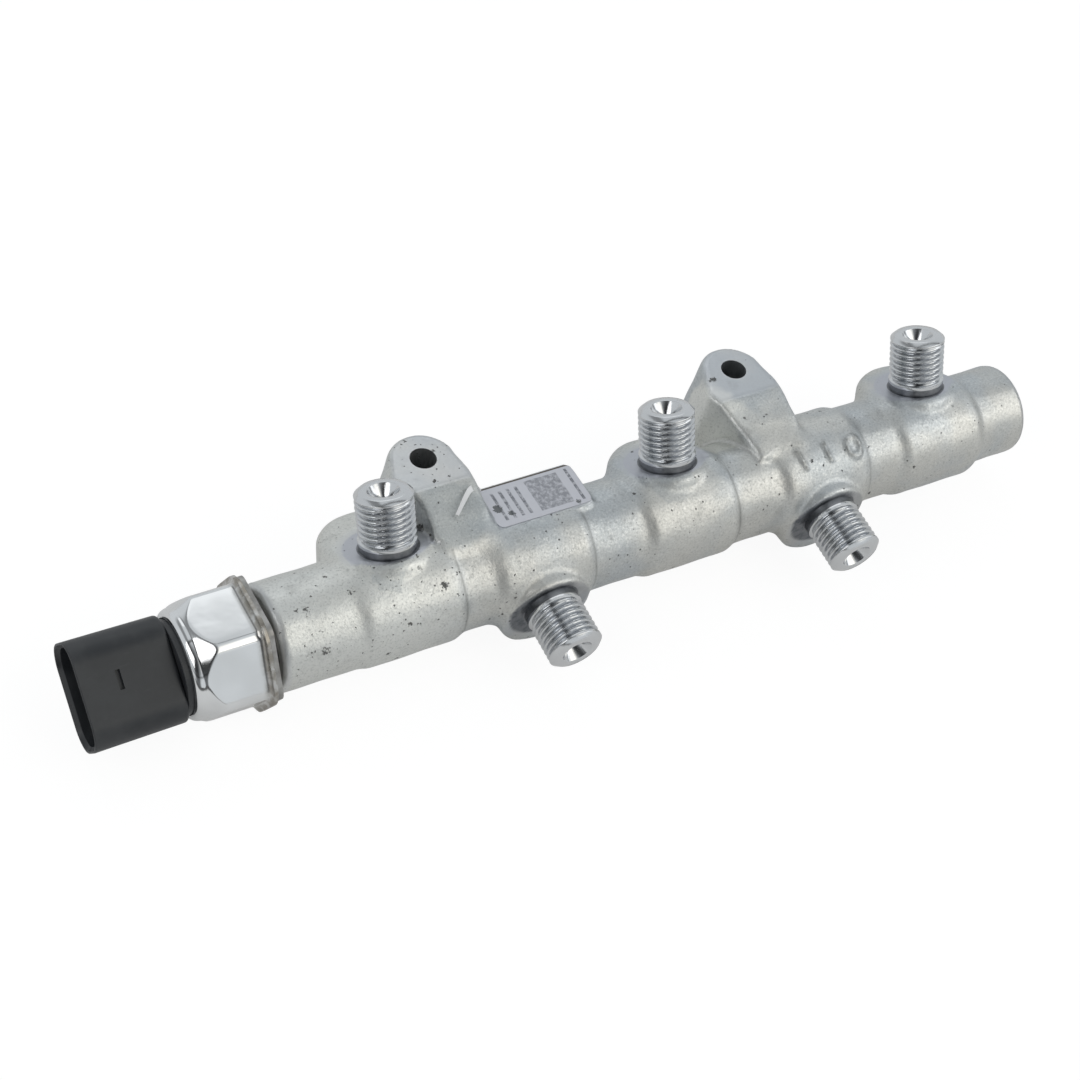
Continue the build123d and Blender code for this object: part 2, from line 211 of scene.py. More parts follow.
class Piece:
    """One visible piece: a mesh at the origin that rides on the rail."""

    def __init__(self, name: str, mesh: bpy.types.Mesh, slot: str) -> None:
        """Put a mesh into the scene.

        Args:
            name: name of the piece.
            mesh: its mesh, in metres.
            slot: name of the record's material slot; not used.
        """
        self.object = bpy.data.objects.new(name, mesh)
        bpy.context.scene.collection.objects.link(self.object)
        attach(self.object, "root")

    def dress(self, material: bpy.types.Material) -> "Piece":
        """Give the whole piece one material and return the piece."""
        self.object.data.materials.clear()
        self.object.data.materials.append(material)
        return self

    def stand_for(self, *nodes: str) -> "Piece":
        """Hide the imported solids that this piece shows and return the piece."""
        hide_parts(*nodes)
        return self


def mesh_from_arrays(
    name: str, points: np.ndarray, faces: Sequence[Sequence[int]], crease: float
) -> bpy.types.Mesh:
    """Make a smooth mesh with sharp edges where faces meet at more than an angle.

    Args:
        name: name of the mesh.
        points: vertices of shape (n, 3) in millimetres.
        faces: vertex numbers of each face, counted anticlockwise from outside.
        crease: least angle of a sharp edge, in degrees.

    Returns:
        The mesh in metres.
    """
    mesh = bpy.data.meshes.new(name)
    mesh.from_pydata((points * MM).tolist(), [], [list(face) for face in faces])
    mesh.validate()
    mesh.polygons.foreach_set("use_smooth", np.ones(len(mesh.polygons), bool))
    mesh.set_sharp_from_angle(angle=math.radians(crease))
    mesh.update()
    return mesh


def store(mesh: bpy.types.Mesh, name: str, values: np.ndarray) -> None:
    """Keep one number per vertex on a mesh for its material to read.

    Args:
        mesh: the mesh.
        name: name of the attribute.
        values: one value per vertex.
    """
    layer = mesh.attributes.new(name, "FLOAT", "POINT")
    layer.data.foreach_set("value", np.asarray(values, np.float32).ravel())


def turned_rings(radii: np.ndarray, heights: np.ndarray, turn: np.ndarray) -> np.ndarray:
    """Turn radii about Z: each point is (radius times cosine, radius times sine, height).

    Args:
        radii: one radius per ring and angle, shape (rings, angles).
        heights: one height per ring.
        turn: the angles in radians.

    Returns:
        Points of shape (rings, angles, 3).
    """
    level = np.broadcast_to(heights[:, None], radii.shape)
    return np.stack([radii * np.cos(turn), radii * np.sin(turn), level], -1)


def volume_terms(points: np.ndarray, corners: np.ndarray) -> float:
    """Return six times the volume between triangles and the origin, summed."""
    a, b, c = (points[corners[:, k]] for k in range(3))
    return float(np.einsum("ij,ij->i", a, np.cross(b, c)).sum())


def lofted_mesh(name: str, rings: np.ndarray, crease: float, ring_closes: bool = False) -> bpy.types.Mesh:
    """Skin a stack of closed rings: row i of the grid joins ring i to ring i + 1.

    Where the stack doesn't close on itself, each end is closed with a fan to the ring's centre.
    The faces are turned outwards by the sign of the enclosed volume, the sum of the
    tetrahedra between each triangle and the origin.

    Args:
        name: name of the mesh.
        rings: points of shape (rings, points per ring, 3) in millimetres.
        crease: least angle of a sharp edge, in degrees.
        ring_closes: whether the last ring joins the first.

    Returns:
        The mesh in metres, its vertices in the order of the rings.
    """
    count, size = rings.shape[:2]
    row = np.arange(count if ring_closes else count - 1)[:, None]
    below = row * size
    above = ((row + 1) % count) * size
    here = np.arange(size)[None, :]
    after = (here + 1) % size
    quads = np.stack([below + here, below + after, above + after, above + here], -1).reshape(-1, 4)
    points = rings.reshape(-1, 3)
    faces: list[list[int]] = quads.tolist()
    if not ring_closes:
        points = np.vstack([points, rings[0].mean(0), rings[-1].mean(0)])
        low, high = count * size, count * size + 1
        first = np.stack([np.full(size, low), after[0], here[0]], -1)
        last_row = (count - 1) * size
        last = np.stack([np.full(size, high), last_row + here[0], last_row + after[0]], -1)
        faces += first.tolist() + last.tolist()
    volume = volume_terms(points, quads[:, :3]) + volume_terms(points, quads[:, [0, 2, 3]])
    if not ring_closes:
        volume += volume_terms(points, first) + volume_terms(points, last)
    if volume < 0:
        faces = [face[::-1] for face in faces]
    return mesh_from_arrays(name, points, faces, crease)


class Maths(Enum):
    """What a Math node does."""

    ADD = "ADD"
    SUBTRACT = "SUBTRACT"
    MULTIPLY = "MULTIPLY"
    LARGER = "MAXIMUM"
    SIZE = "ABSOLUTE"


class VectorMaths(Enum):
    """What a Vector Math node does."""

    MULTIPLY = "MULTIPLY"
    MULTIPLY_ADD = "MULTIPLY_ADD"
    DISTANCE = "DISTANCE"
    DOT = "DOT_PRODUCT"


class Signal:
    """A shader socket that takes part in Python arithmetic through Math nodes."""

    def __init__(self, bench: "NodeBench", socket: bpy.types.NodeSocket) -> None:
        """Wrap a socket.

        Args:
            bench: the bench that the socket's node stands on.
            socket: the output socket.
        """
        self.bench = bench
        self.socket = socket

    def maths(self, operation: Maths, *terms: "Value") -> "Signal":
        """Add one Math node and return its result."""
        return self.bench.read("ShaderNodeMath", 0, {"operation": operation.value}, dict(enumerate(terms)))

    def __add__(self, other: "Value") -> "Signal":
        """Return self + other."""
        return self.maths(Maths.ADD, self, other)

    __radd__ = __add__

    def __mul__(self, other: "Value") -> "Signal":
        """Return self * other."""
        return self.maths(Maths.MULTIPLY, self, other)

    __rmul__ = __mul__

    def __sub__(self, other: "Value") -> "Signal":
        """Return self - other."""
        return self.maths(Maths.SUBTRACT, self, other)

    def __rsub__(self, other: "Value") -> "Signal":
        """Return other - self."""
        return self.maths(Maths.SUBTRACT, other, self)

    def __abs__(self) -> "Signal":
        """Return the size of self without its sign."""
        return self.maths(Maths.SIZE, self)

    def at_least(self, other: "Value") -> "Signal":
        """Return the larger of self and other."""
        return self.maths(Maths.LARGER, self, other)

    def graded(self, low: float, high: float, out_low: float = 0.0, out_high: float = 1.0) -> "Signal":
        """Map low..high onto out_low..out_high with smooth ends.

        Args:
            low: input that gives out_low.
            high: input that gives out_high.
            out_low: output at and below low.
            out_high: output at and above high.

        Returns:
            The graded signal.
        """
        ends = {"From Min": low, "From Max": high, "To Min": out_low, "To Max": out_high}
        return self.bench.read(
            "ShaderNodeMapRange", "Result", {"interpolation_type": "SMOOTHSTEP"}, {"Value": self, **ends}
        )

    def window(self, outer_low: float, low: float, high: float, outer_high: float) -> "Signal":
        """Return 1 from low to high, falling to 0 at the outer pair.

        Args:
            outer_low: input below which it is 0.
            low: input from which it is 1.
            high: input up to which it is 1.
            outer_high: input above which it is 0.

        Returns:
            The window as a signal.
        """
        return self.graded(outer_low, low) * self.graded(outer_high, high)


Value = Union[Signal, float, int]


class NodeBench:
    """Adds nodes to one tree, which starts empty."""

    def __init__(self, tree: bpy.types.NodeTree, output: str) -> None:
        """Clear the tree and add its output.

        Args:
            tree: the tree of a material or of the world.
            output: Blender's type of the output node.
        """
        self.tree = tree
        self.tree.nodes.clear()
        self.output = self.node(output)

    def node(self, kind: str, settings: Settings = None, inputs: Inputs = None) -> bpy.types.Node:
        """Add a node, set its settings first and then its sockets.

        Args:
            kind: Blender's type of the node.
            settings: properties of the node.
            inputs: values or signals by socket name or number.

        Returns:
            The node.
        """
        made = self.tree.nodes.new(kind)
        for key, value in (settings or {}).items():
            setattr(made, key, value)
        for key, value in (inputs or {}).items():
            self.plug(made.inputs[key], value)
        return made

    def read(
        self, kind: str, output: Union[str, int], settings: Settings = None, inputs: Inputs = None
    ) -> Signal:
        """Add a node and return one of its outputs.

        Args:
            kind: Blender's type of the node.
            output: name or number of the output.
            settings: properties of the node.
            inputs: values or signals by socket name or number.

        Returns:
            The output.
        """
        return Signal(self, self.node(kind, settings, inputs).outputs[output])

    def vector(self, operation: VectorMaths, *terms: Any) -> Signal:
        """Add a Vector Math node.

        Args:
            operation: what it does.
            *terms: vectors, as numbers or signals.

        Returns:
            A number for a distance or a dot product, otherwise a vector.
        """
        output = "Value" if operation in (VectorMaths.DISTANCE, VectorMaths.DOT) else "Vector"
        settings = {"operation": operation.value}
        return self.read("ShaderNodeVectorMath", output, settings, dict(enumerate(terms)))

    def show(self, shader: bpy.types.Node) -> None:
        """Link a shader to the tree's output."""
        self.tree.links.new(shader.outputs[0], self.output.inputs["Surface"])

    def mix(self, factor: Signal, first: bpy.types.Node, second: bpy.types.Node) -> bpy.types.Node:
        """Mix two shaders.

        Args:
            factor: 0 for the first, 1 for the second.
            first: a shader node.
            second: a shader node.

        Returns:
            The mixing node.
        """
        made = self.node("ShaderNodeMixShader", {}, {0: factor})
        self.tree.links.new(first.outputs[0], made.inputs[1])
        self.tree.links.new(second.outputs[0], made.inputs[2])
        return made

    def plug(self, socket: bpy.types.NodeSocket, value: Any) -> None:
        """Link a signal to a socket or set a plain value on it.

        Args:
            socket: the input socket.
            value: a signal, a number, a vector or a colour.
        """
        if isinstance(value, Signal):
            self.tree.links.new(value.socket, socket)
        elif isinstance(value, tuple) and len(value) == 3 and socket.type == "RGBA":
            socket.default_value = (*value, 1.0)
        else:
            socket.default_value = value

    def place(self) -> Signal:
        """Return the point on the piece, in metres in the row frame."""
        return self.read("ShaderNodeTexCoord", "Object")

    def coordinate(self, axis: str) -> Signal:
        """Return one coordinate of the point, in metres.

        Args:
            axis: X, Y or Z.

        Returns:
            The coordinate.
        """
        return self.read("ShaderNodeSeparateXYZ", axis, {}, {0: self.place()})

    def kept(self, name: str) -> Signal:
        """Return a number that the mesh keeps per vertex."""
        return self.read("ShaderNodeAttribute", "Fac", {"attribute_name": name})

    def noise(
        self, size: float, detail: float = 2.0, roughness: float = 0.5, where: Optional[Signal] = None
    ) -> Signal:
        """Return noise from 0 to 1.

        Args:
            size: size of its lumps in millimetres.
            detail: number of finer layers.
            roughness: strength of the finer layers.
            where: the point to read it at, the piece's own by default.

        Returns:
            The noise.
        """
        grain = {"Scale": 1.0 / (size * MM), "Detail": detail, "Roughness": roughness}
        return self.read("ShaderNodeTexNoise", "Fac", {}, {"Vector": where or self.place(), **grain})

    def stretched(self, factors: Point) -> Signal:
        """Return the point with each coordinate multiplied by a factor."""
        return self.vector(VectorMaths.MULTIPLY, self.place(), factors)

    def shaken(self, size: float, amount: float) -> Signal:
        """Return the point pushed about by coarse noise, for ragged outlines.

        Args:
            size: size of the noise in millimetres.
            amount: greatest push in millimetres.

        Returns:
            The moved point.
        """
        grain = {"Vector": self.place(), "Scale": 1.0 / (size * MM), "Detail": 2.0}
        cloud = self.read("ShaderNodeTexNoise", "Color", {}, grain)
        return self.vector(VectorMaths.MULTIPLY_ADD, cloud, (2 * amount * MM,) * 3, self.place())

    def dots(self, spacing: float, radius: float, share: Value, ragged: float) -> Signal:
        """Return a mask of scattered ragged dots.

        Each cell of a random pattern holds at most one dot; a random number per cell decides
        whether it has one and how large it is.

        Args:
            spacing: mean distance between cells in millimetres.
            radius: radius of the largest dots in millimetres.
            share: share of the cells that hold a dot, a number or a signal.
            ragged: how far the outline is pushed about, in millimetres.

        Returns:
            A mask, 1 inside the dots.
        """
        grid = {"Vector": self.shaken(spacing * 0.22, ragged), "Scale": 1.0 / (spacing * MM)}
        cells = self.node("ShaderNodeTexVoronoi", {"feature": "F1"}, grid)
        chance = self.node("ShaderNodeSeparateColor", {}, {0: Signal(self, cells.outputs["Color"])})
        pick, size = (Signal(self, chance.outputs[k]) for k in range(2))
        reach = (size * 0.7 + 0.3) * (radius / spacing)
        inside = (reach - Signal(self, cells.outputs["Distance"])).graded(0.0, 0.25 * radius / spacing)
        return inside * (pick + share - 1.0).graded(0.0, 0.02)

    def blob(self, spot: "Spot", ragged: float) -> Signal:
        """Return a mask for one ragged stain: its strength inside and 0 outside.

        Args:
            spot: place, size and strength of the stain.
            ragged: how far its outline is pushed about, in millimetres.

        Returns:
            The mask.
        """
        push = 1.3 * ragged
        middle = tuple((value + push) * MM for value in spot.centre)
        gap = self.vector(VectorMaths.DISTANCE, self.shaken(spot.radius * 0.55, push), middle)
        return gap.graded(spot.radius * MM, spot.radius * 0.8 * MM, 0.0, spot.strength)

    def tint(self, factor: Value, first: Any, second: Any) -> Signal:
        """Mix two colours.

        Args:
            factor: 0 for the first, 1 for the second.
            first: a colour or a colour signal.
            second: a colour or a colour signal.

        Returns:
            The mixed colour.
        """
        return self.read("ShaderNodeMix", 2, {"data_type": "RGBA"}, {"Factor": factor, 6: first, 7: second})

    def bump(
        self, height: Signal, depth: float, strength: float = 1.0, under: Optional[Signal] = None
    ) -> Signal:
        """Return a normal bent by a height.

        Args:
            height: height from 0 to 1.
            depth: what a height of 1 measures, in millimetres.
            strength: strength of the effect.
            under: a normal to add it to.

        Returns:
            The normal.
        """
        inputs = {"Height": height, "Strength": strength, "Distance": depth * MM}
        if under is not None:
            inputs["Normal"] = under
        return self.read("ShaderNodeBump", 0, {}, inputs)


class ShaderBench(NodeBench):
    """Builds one node material around a Principled shader."""

    def __init__(self, name: str) -> None:
        """Start a material.

        Args:
            name: name of the material.
        """
        self.material = bpy.data.materials.new(name)
        self.material.use_nodes = True
        super().__init__(self.material.node_tree, "ShaderNodeOutputMaterial")
        self.shader = self.node("ShaderNodeBsdfPrincipled")
        self.show(self.shader)

    def finish(self, **sockets: Any) -> bpy.types.Material:
        """Set the Principled shader's sockets and return the material.

        Args:
            **sockets: values by socket name, with underscores for spaces.

        Returns:
            The material.
        """
        for key, value in sockets.items():
            self.plug(self.shader.inputs[key.replace("_", " ")], value)
        return self.material


@dataclass(frozen=True)
class Spot:
    """A round place on the part: its middle and radius in millimetres, and how strongly it shows."""

    centre: Point
    radius: float
    strength: float = 1.0


@dataclass(frozen=True)
class ForgedSteel:
    """Satin forging with its plating, pitted and stained, with smoother machined faces and some painted
    light and shade.
    """

    cool: Colour = (0.545, 0.575, 0.590)
    warm: Colour = (0.640, 0.638, 0.608)
    # dark tone of stains and smudges, also used as painted shade in hollows and along the collars' steps
    machined: Colour = (0.535, 0.550, 0.600)
    stain: Colour = (0.200, 0.200, 0.190)
    pit: Colour = (0.060, 0.060, 0.058)
    # painted shade on the slanted seats
    slanted_seat_shade: Colour = (0.085, 0.095, 0.115)
    # painted light: the lighter tone of the sensor end and the second lug's flank
    painted_light: Colour = (0.785, 0.790, 0.755)
    # painted shade on the first lug's slope, also the colour of two darker soiled patches
    shade_and_grime: Colour = (0.380, 0.425, 0.450)
    dark_grain: Colour = (0.300, 0.310, 0.300)
    light_grain: Colour = (0.800, 0.800, 0.770)
    rubbed: Colour = (0.760, 0.760, 0.740)
    # painted light: the sensor end turns lighter between these places along X
    lit_end: Pair = (-35.0, -65.0)
    busy_end: Pair = (30.0, -50.0)
    front_side: Pair = (-22.5, -25.5)
    # painted light on the second lug's left flank
    lit_flank: Spot = Spot((34.5, -8.0, 24.5), 13.0, 0.90)
    pitted: Spot = Spot((-49.0, -31.0, 26.0), 11.0, 1.15)
    # the first spot is painted shade on the first lug's slope; the other two are darker soiled patches
    shade_and_grime_spots: tuple[Spot, ...] = (
        Spot((-44.5, -16.5, 32.0), 9.5, 0.40),
        Spot((-65.0, -25.5, 30.0), 4.5, 0.30),
        Spot((12.5, -24.5, 30.5), 6.0, 0.25),
    )
    stains: tuple[Spot, ...] = (
        Spot((-50.6, -14.2, 27.0), 1.9),
        Spot((-66.5, -9.0, 26.5), 1.2),
        Spot((-86.7, -27.0, 28.3), 0.9),
        Spot((-75.0, -26.2, 28.4), 0.8),
        Spot((-53.2, -31.0, 26.6), 1.0),
        Spot((-84.7, -34.4, 20.9), 1.1),
    )
    # painted shade: places and strengths of the dark lines at the collars' steps
    crease_shade_places: tuple[Pair, ...] = ((-48.3, 0.62), (-13.1, 0.55), (28.7, 0.60), (69.1, 0.40))
    crease_left: float = 0.8
    crease_right: float = 0.5

    def plating(self, bench: ShaderBench, forged: Signal, speckle: Signal) -> Signal:
        """Mix the clean skin: clouds of plating, a paler sensor end and second lug as painted light, painted
        shade on the first lug and the slanted seats, two soiled patches and a fine grain.

        Args:
            bench: the material's bench.
            forged: 1 on the forged skin and 0 on machined faces.
            speckle: fine noise.

        Returns:
            The colour.
        """
        skin = bench.tint(bench.noise(26.0, 3.0, 0.55).graded(0.38, 0.62), self.cool, self.warm)
        # painted light: lighter towards the sensor end and on the second lug's flank
        start, full = (value * MM for value in self.lit_end)
        lit_share = (bench.coordinate("X").graded(start, full) * 0.75).at_least(bench.blob(self.lit_flank, 3.0))
        skin = bench.tint(lit_share, skin, self.painted_light)
        # painted shade on the first lug's slope, and two darker soiled patches
        for spot in self.shade_and_grime_spots:
            skin = bench.tint(bench.blob(spot, 2.0) * forged, skin, self.shade_and_grime)
        skin = bench.tint(speckle.graded(0.50, 0.74, 0.0, 0.42) * forged, skin, self.dark_grain)
        skin = bench.tint(speckle.graded(0.48, 0.28, 0.0, 0.45) * forged, skin, self.light_grain)
        skin = bench.tint(bench.kept("seat") * 0.85, skin, self.machined)
        # painted shade: the slanted seats are darkened, broken up by noise
        cloud_mask = bench.kept("slanted_seat_shade") * bench.noise(2.0, 2.0).graded(0.2, 0.6, 1.0, 0.75)
        return bench.tint(cloud_mask, skin, self.slanted_seat_shade)

    def pits(self, bench: ShaderBench, worked: Signal) -> Signal:
        """Scatter the black pits: more of them towards the sensor, and the large ones in their places.

        Args:
            bench: the material's bench.
            worked: 1 on machined faces and 0 on the forged skin.

        Returns:
            1 in the pits and 0 elsewhere.
        """
        start, full = (value * MM for value in self.busy_end)
        patchy = bench.noise(14.0, 1.0).graded(0.38, 0.58, 0.15, 1.0)
        busy = bench.coordinate("X").graded(start, full, 0.30, 1.0) * patchy
        busy = busy.at_least(bench.blob(self.pitted, 4.0))
        pits = bench.dots(3.1, 0.72, busy * 0.42, 0.85).at_least(bench.dots(1.25, 0.29, busy * 0.75, 0.30))
        for stain in self.stains:
            pits = pits.at_least(bench.blob(stain, 0.9) * bench.noise(0.8, 2.0).graded(0.35, 0.55))
        return pits.at_least(bench.dots(5.5, 1.0, worked * busy * 0.30, 1.2))

    def crease_shade(self, bench: ShaderBench, speckle: Signal, skin: Signal) -> Signal:
        """Paint shade into the narrow crease beside each collar, on the front of the rail.

        Args:
            bench: the material's bench.
            speckle: fine noise that breaks the lines up.
            skin: the colour so far.

        Returns:
            The colour with its painted crease shade.
        """
        along = bench.coordinate("X")
        start, full = (value * MM for value in self.front_side)
        front = bench.coordinate("Y").graded(start, full)
        for place, depth in self.crease_shade_places:
            left, middle, right = ((place + gap) * MM for gap in (-self.crease_left, 0.0, self.crease_right))
            darkening = speckle.graded(0.2, 0.6, depth, depth * 0.6)
            # painted shade in the crease, broken up by noise
            skin = bench.tint(along.window(left, middle, middle, right) * front * darkening, skin, self.stain)
        return skin

    def material(self) -> bpy.types.Material:
        """Lay stains, painted shade in the hollows and along the collars' steps, darkened cast marks, rubbed
        edges and pits over the plating.

        Returns:
            The material.
        """
        bench = ShaderBench("forged_steel")
        worked = bench.kept("machined")
        hollow = bench.kept("hollow")
        forged = 1.0 - worked
        speckle = bench.noise(0.55, 3.0, 0.65)
        pits = self.pits(bench, worked)
        smudge = bench.noise(7.5, 4.0, 0.65).graded(0.58, 0.75, 0.0, 0.22)
        skin = self.plating(bench, forged, speckle)
        # random dark smudges, plus painted shade in the hollows
        skin = bench.tint(smudge + hollow.graded(0.15, 0.85, 0.0, 0.30), skin, self.stain)
        # darkens the raised cast marks, broken up by noise
        darkening = bench.noise(1.2, 3.0, 0.6).graded(0.35, 0.6, 0.10, 0.60)
        skin = bench.tint(bench.kept("marks") * darkening, skin, self.stain)
        skin = bench.tint(hollow.graded(-0.35, -1.0, 0.0, 0.16), skin, self.rubbed)
        skin = self.crease_shade(bench, speckle, skin)
        skin = bench.tint(pits * 0.85, skin, self.pit)
        normal = bench.bump(bench.noise(0.42, 3.0, 0.6) * forged, 0.075)
        normal = bench.bump(bench.noise(3.2, 2.0, 0.5) * forged, 0.16, 1.0, normal)
        normal = bench.bump(1.0 - pits, 0.18, 0.9, normal)
        rough = speckle.graded(0.3, 0.7, 0.38, 0.52) - worked * 0.04 + pits * 0.3 + smudge * 0.2
        return bench.finish(Base_Color=skin, Metallic=1.0 - pits * 0.7, Roughness=rough, Normal=normal)


@dataclass(frozen=True)
class ThreadSteel:
    """Bright cut threads with painted shade in their grooves, and a dark ring of painted shade at the foot
    and in the bore.
    """

    crest: Colour = (0.70, 0.71, 0.72)
    # painted shade in the grooves
    groove_shade: Colour = (0.40, 0.42, 0.45)
    # painted shade at the foot and in the bore
    foot: Colour = (0.095, 0.102, 0.115)
    speck: Colour = (0.12, 0.12, 0.12)

    def material(self) -> bpy.types.Material:
        """Paint shade into the grooves, the foot and the bore, mottled by noise, and scatter a few specks.

        Returns:
            The material.
        """
        bench = ShaderBench("thread_steel")
        cut = bench.kept("cut")
        foot = bench.kept("foot")
        mottle = bench.noise(2.6, 3.0, 0.6)
        # painted shade in the grooves, mottled by noise
        metal = bench.tint(cut * mottle.graded(0.25, 0.65, 0.30, 0.90), self.crest, self.groove_shade)
        # painted shade at the foot and in the bore
        metal = bench.tint(foot * mottle.graded(0.2, 0.7, 1.0, 0.80), metal, self.foot)
        specks = bench.dots(1.7, 0.22, 0.25, 0.2)
        metal = bench.tint(specks * 0.6, metal, self.speck)
        normal = bench.bump(bench.noise(0.35, 3.0, 0.6), 0.012)
        rough = mottle.graded(0.3, 0.7, 0.10, 0.18) + foot * 0.20 + cut * 0.05
        return bench.finish(Base_Color=metal, Metallic=1.0, Roughness=rough, Normal=normal)


@dataclass(frozen=True)
class MirrorSteel:
    """Bright drawn steel, nearly a mirror, with a stained welded edge."""

    bright: Colour = (0.84, 0.85, 0.855)
    stained: Colour = (0.27, 0.245, 0.205)
    dulled: Colour = (0.66, 0.67, 0.67)
    mark: Colour = (0.30, 0.30, 0.29)

    def material(self) -> bpy.types.Material:
        """Dull the mirror in clouds, stain its edge and mark it here and there.

        Returns:
            The material.
        """
        bench = ShaderBench("mirror_steel")
        edge = bench.kept("edge")
        blotch = bench.noise(3.0, 3.0, 0.6)
        cloud_mask = bench.noise(11.0, 2.0, 0.5)
        metal = bench.tint(cloud_mask.graded(0.35, 0.7, 0.0, 0.35), self.bright, self.dulled)
        metal = bench.tint(edge * blotch.graded(0.30, 0.60, 0.40, 0.92), metal, self.stained)
        marks = bench.dots(4.5, 0.5, 0.22, 0.6)
        metal = bench.tint(marks * 0.5, metal, self.mark)
        normal = bench.bump(bench.noise(5.5, 2.0, 0.5), 0.035)
        rough = cloud_mask.graded(0.3, 0.75, 0.07, 0.17) + edge * 0.16 + marks * 0.2
        return bench.finish(Base_Color=metal, Metallic=1.0, Roughness=rough, Normal=normal)


@dataclass(frozen=True)
class TurnedSteel:
    """Plain turned steel for the port and other parts of the sensor."""

    name: str = "turned_steel"
    base: Colour = (0.42, 0.415, 0.40)
    dark: Colour = (0.17, 0.165, 0.155)
    roughness: float = 0.32

    def material(self) -> bpy.types.Material:
        """Run fine rings round the rail's length through darker blotches.

        Returns:
            The material.
        """
        bench = ShaderBench(self.name)
        ring = bench.noise(0.5, 2.0, 0.5, bench.stretched((1.0, 0.15, 0.15)))
        blotch = bench.noise(3.5, 3.0, 0.6)
        metal = bench.tint(blotch.graded(0.35, 0.7) * 0.6, self.base, self.dark)
        normal = bench.bump(ring, 0.02)
        rough = blotch.graded(0.3, 0.7, self.roughness, self.roughness + 0.15)
        return bench.finish(Base_Color=metal, Metallic=1.0, Roughness=rough, Normal=normal)


@dataclass(frozen=True)
class MouldedPlastic:
    """Moulded plastic with a fine grain and a few paler scuffs."""

    name: str
    base: Colour
    scuff: Colour
    roughness: float = 0.42

    def material(self) -> bpy.types.Material:
        """Cloud and streak the plastic with scuffs and give it a fine grain.

        Returns:
            The material.
        """
        bench = ShaderBench(self.name)
        cloud = bench.noise(9.0, 3.0, 0.6)
        skin = bench.tint(cloud.graded(0.35, 0.7) * 0.55, self.base, self.scuff)
        streak = bench.noise(1.4, 3.0, 0.6, bench.stretched((0.25, 1.0, 1.0)))
        skin = bench.tint(streak.graded(0.62, 0.80) * 0.35, skin, self.scuff)
        grain = bench.noise(0.25, 2.0, 0.5)
        normal = bench.bump(grain, 0.012)
        normal = bench.bump(bench.noise(12.0, 1.0), 0.10, 1.0, normal)
        rough = cloud.graded(0.3, 0.7, self.roughness, self.roughness + 0.12)
        return bench.finish(Base_Color=skin, Metallic=0.0, Roughness=rough, Normal=normal)


@dataclass(frozen=True)
class PrintedFoil:
    """Matt foil with plain printed bars and a few dark stains."""

    paper: Colour = (0.62, 0.63, 0.68)
    ink: Colour = (0.11, 0.12, 0.14)
    stain: Colour = (0.075, 0.085, 0.085)
    # painted shadow along the label's rear edge
    rear_edge_shadow: Colour = (0.10, 0.085, 0.07)
    stains: tuple[Spot, ...] = (
        Spot((-32.4, -16.8, 29.6), 1.3),
        Spot((-29.9, -19.2, 29.6), 0.9),
        Spot((-12.6, -21.6, 29.6), 0.7),
    )
    bar_places: tuple[float, ...] = (0.20, 0.285, 0.37)
    bar_half: float = 0.020
    bar_full_half: float = 0.012

    def material(self) -> bpy.types.Material:
        """Print worn bars, a panel and an edge line on the foil, paint a shadow along its rear edge, and
        stain it.

        Returns:
            The material.
        """
        bench = ShaderBench("printed_foil")
        along = bench.kept("along")
        across = bench.kept("across")
        fade = bench.noise(1.1, 3.0, 0.7)
        wear = fade.graded(0.35, 0.60, 0.25, 0.95)
        bars = along.window(0.095, 0.105, 0.125, 0.135)
        reach = (-self.bar_half, -self.bar_full_half, self.bar_full_half, self.bar_half)
        for centre in self.bar_places:
            bars = bars.at_least(along.window(*(centre + gap for gap in reach)))
        bars = bars * across.window(0.12, 0.15, 0.80, 0.86)
        panel = along.window(0.47, 0.48, 0.82, 0.83) * across.window(0.10, 0.12, 0.88, 0.90)
        edge = along.window(0.91, 0.915, 0.94, 0.945) * across.window(0.08, 0.10, 0.90, 0.92)
        printed = (bars.at_least(edge) * 0.85).at_least(panel * 0.62) * wear
        skin = bench.tint(printed, self.paper, self.ink)
        # painted shadow along the rear edge
        skin = bench.tint(across.graded(0.955, 0.975), skin, self.rear_edge_shadow)
        spot = bench.dots(5.2, 0.7, 0.30, 0.9)
        for stain in self.stains:
            spot = spot.at_least(bench.blob(stain, 0.8))
        skin = bench.tint(spot * 0.85, skin, self.stain)
        normal = bench.bump(bench.noise(2.4, 2.0, 0.5), 0.03)
        rough = fade.graded(0.3, 0.7, 0.42, 0.55)
        return bench.finish(Base_Color=skin, Metallic=0.35, Roughness=rough, Normal=normal)


@dataclass(frozen=True)
class PlatedMetal:
    """Thin plated metal for the blades and springs."""

    name: str
    base: Colour
    tarnish: Colour = (0.35, 0.31, 0.24)

    def material(self) -> bpy.types.Material:
        """Tarnish the plating in blotches.

        Returns:
            The material.
        """
        bench = ShaderBench(self.name)
        blotch = bench.noise(1.2, 3.0, 0.6)
        metal = bench.tint(blotch.graded(0.4, 0.75, 0.0, 0.4), self.base, self.tarnish)
        normal = bench.bump(bench.noise(0.3, 2.0), 0.01)
        rough = blotch.graded(0.3, 0.7, 0.2, 0.34)
        return bench.finish(Base_Color=metal, Metallic=1.0, Roughness=rough, Normal=normal)


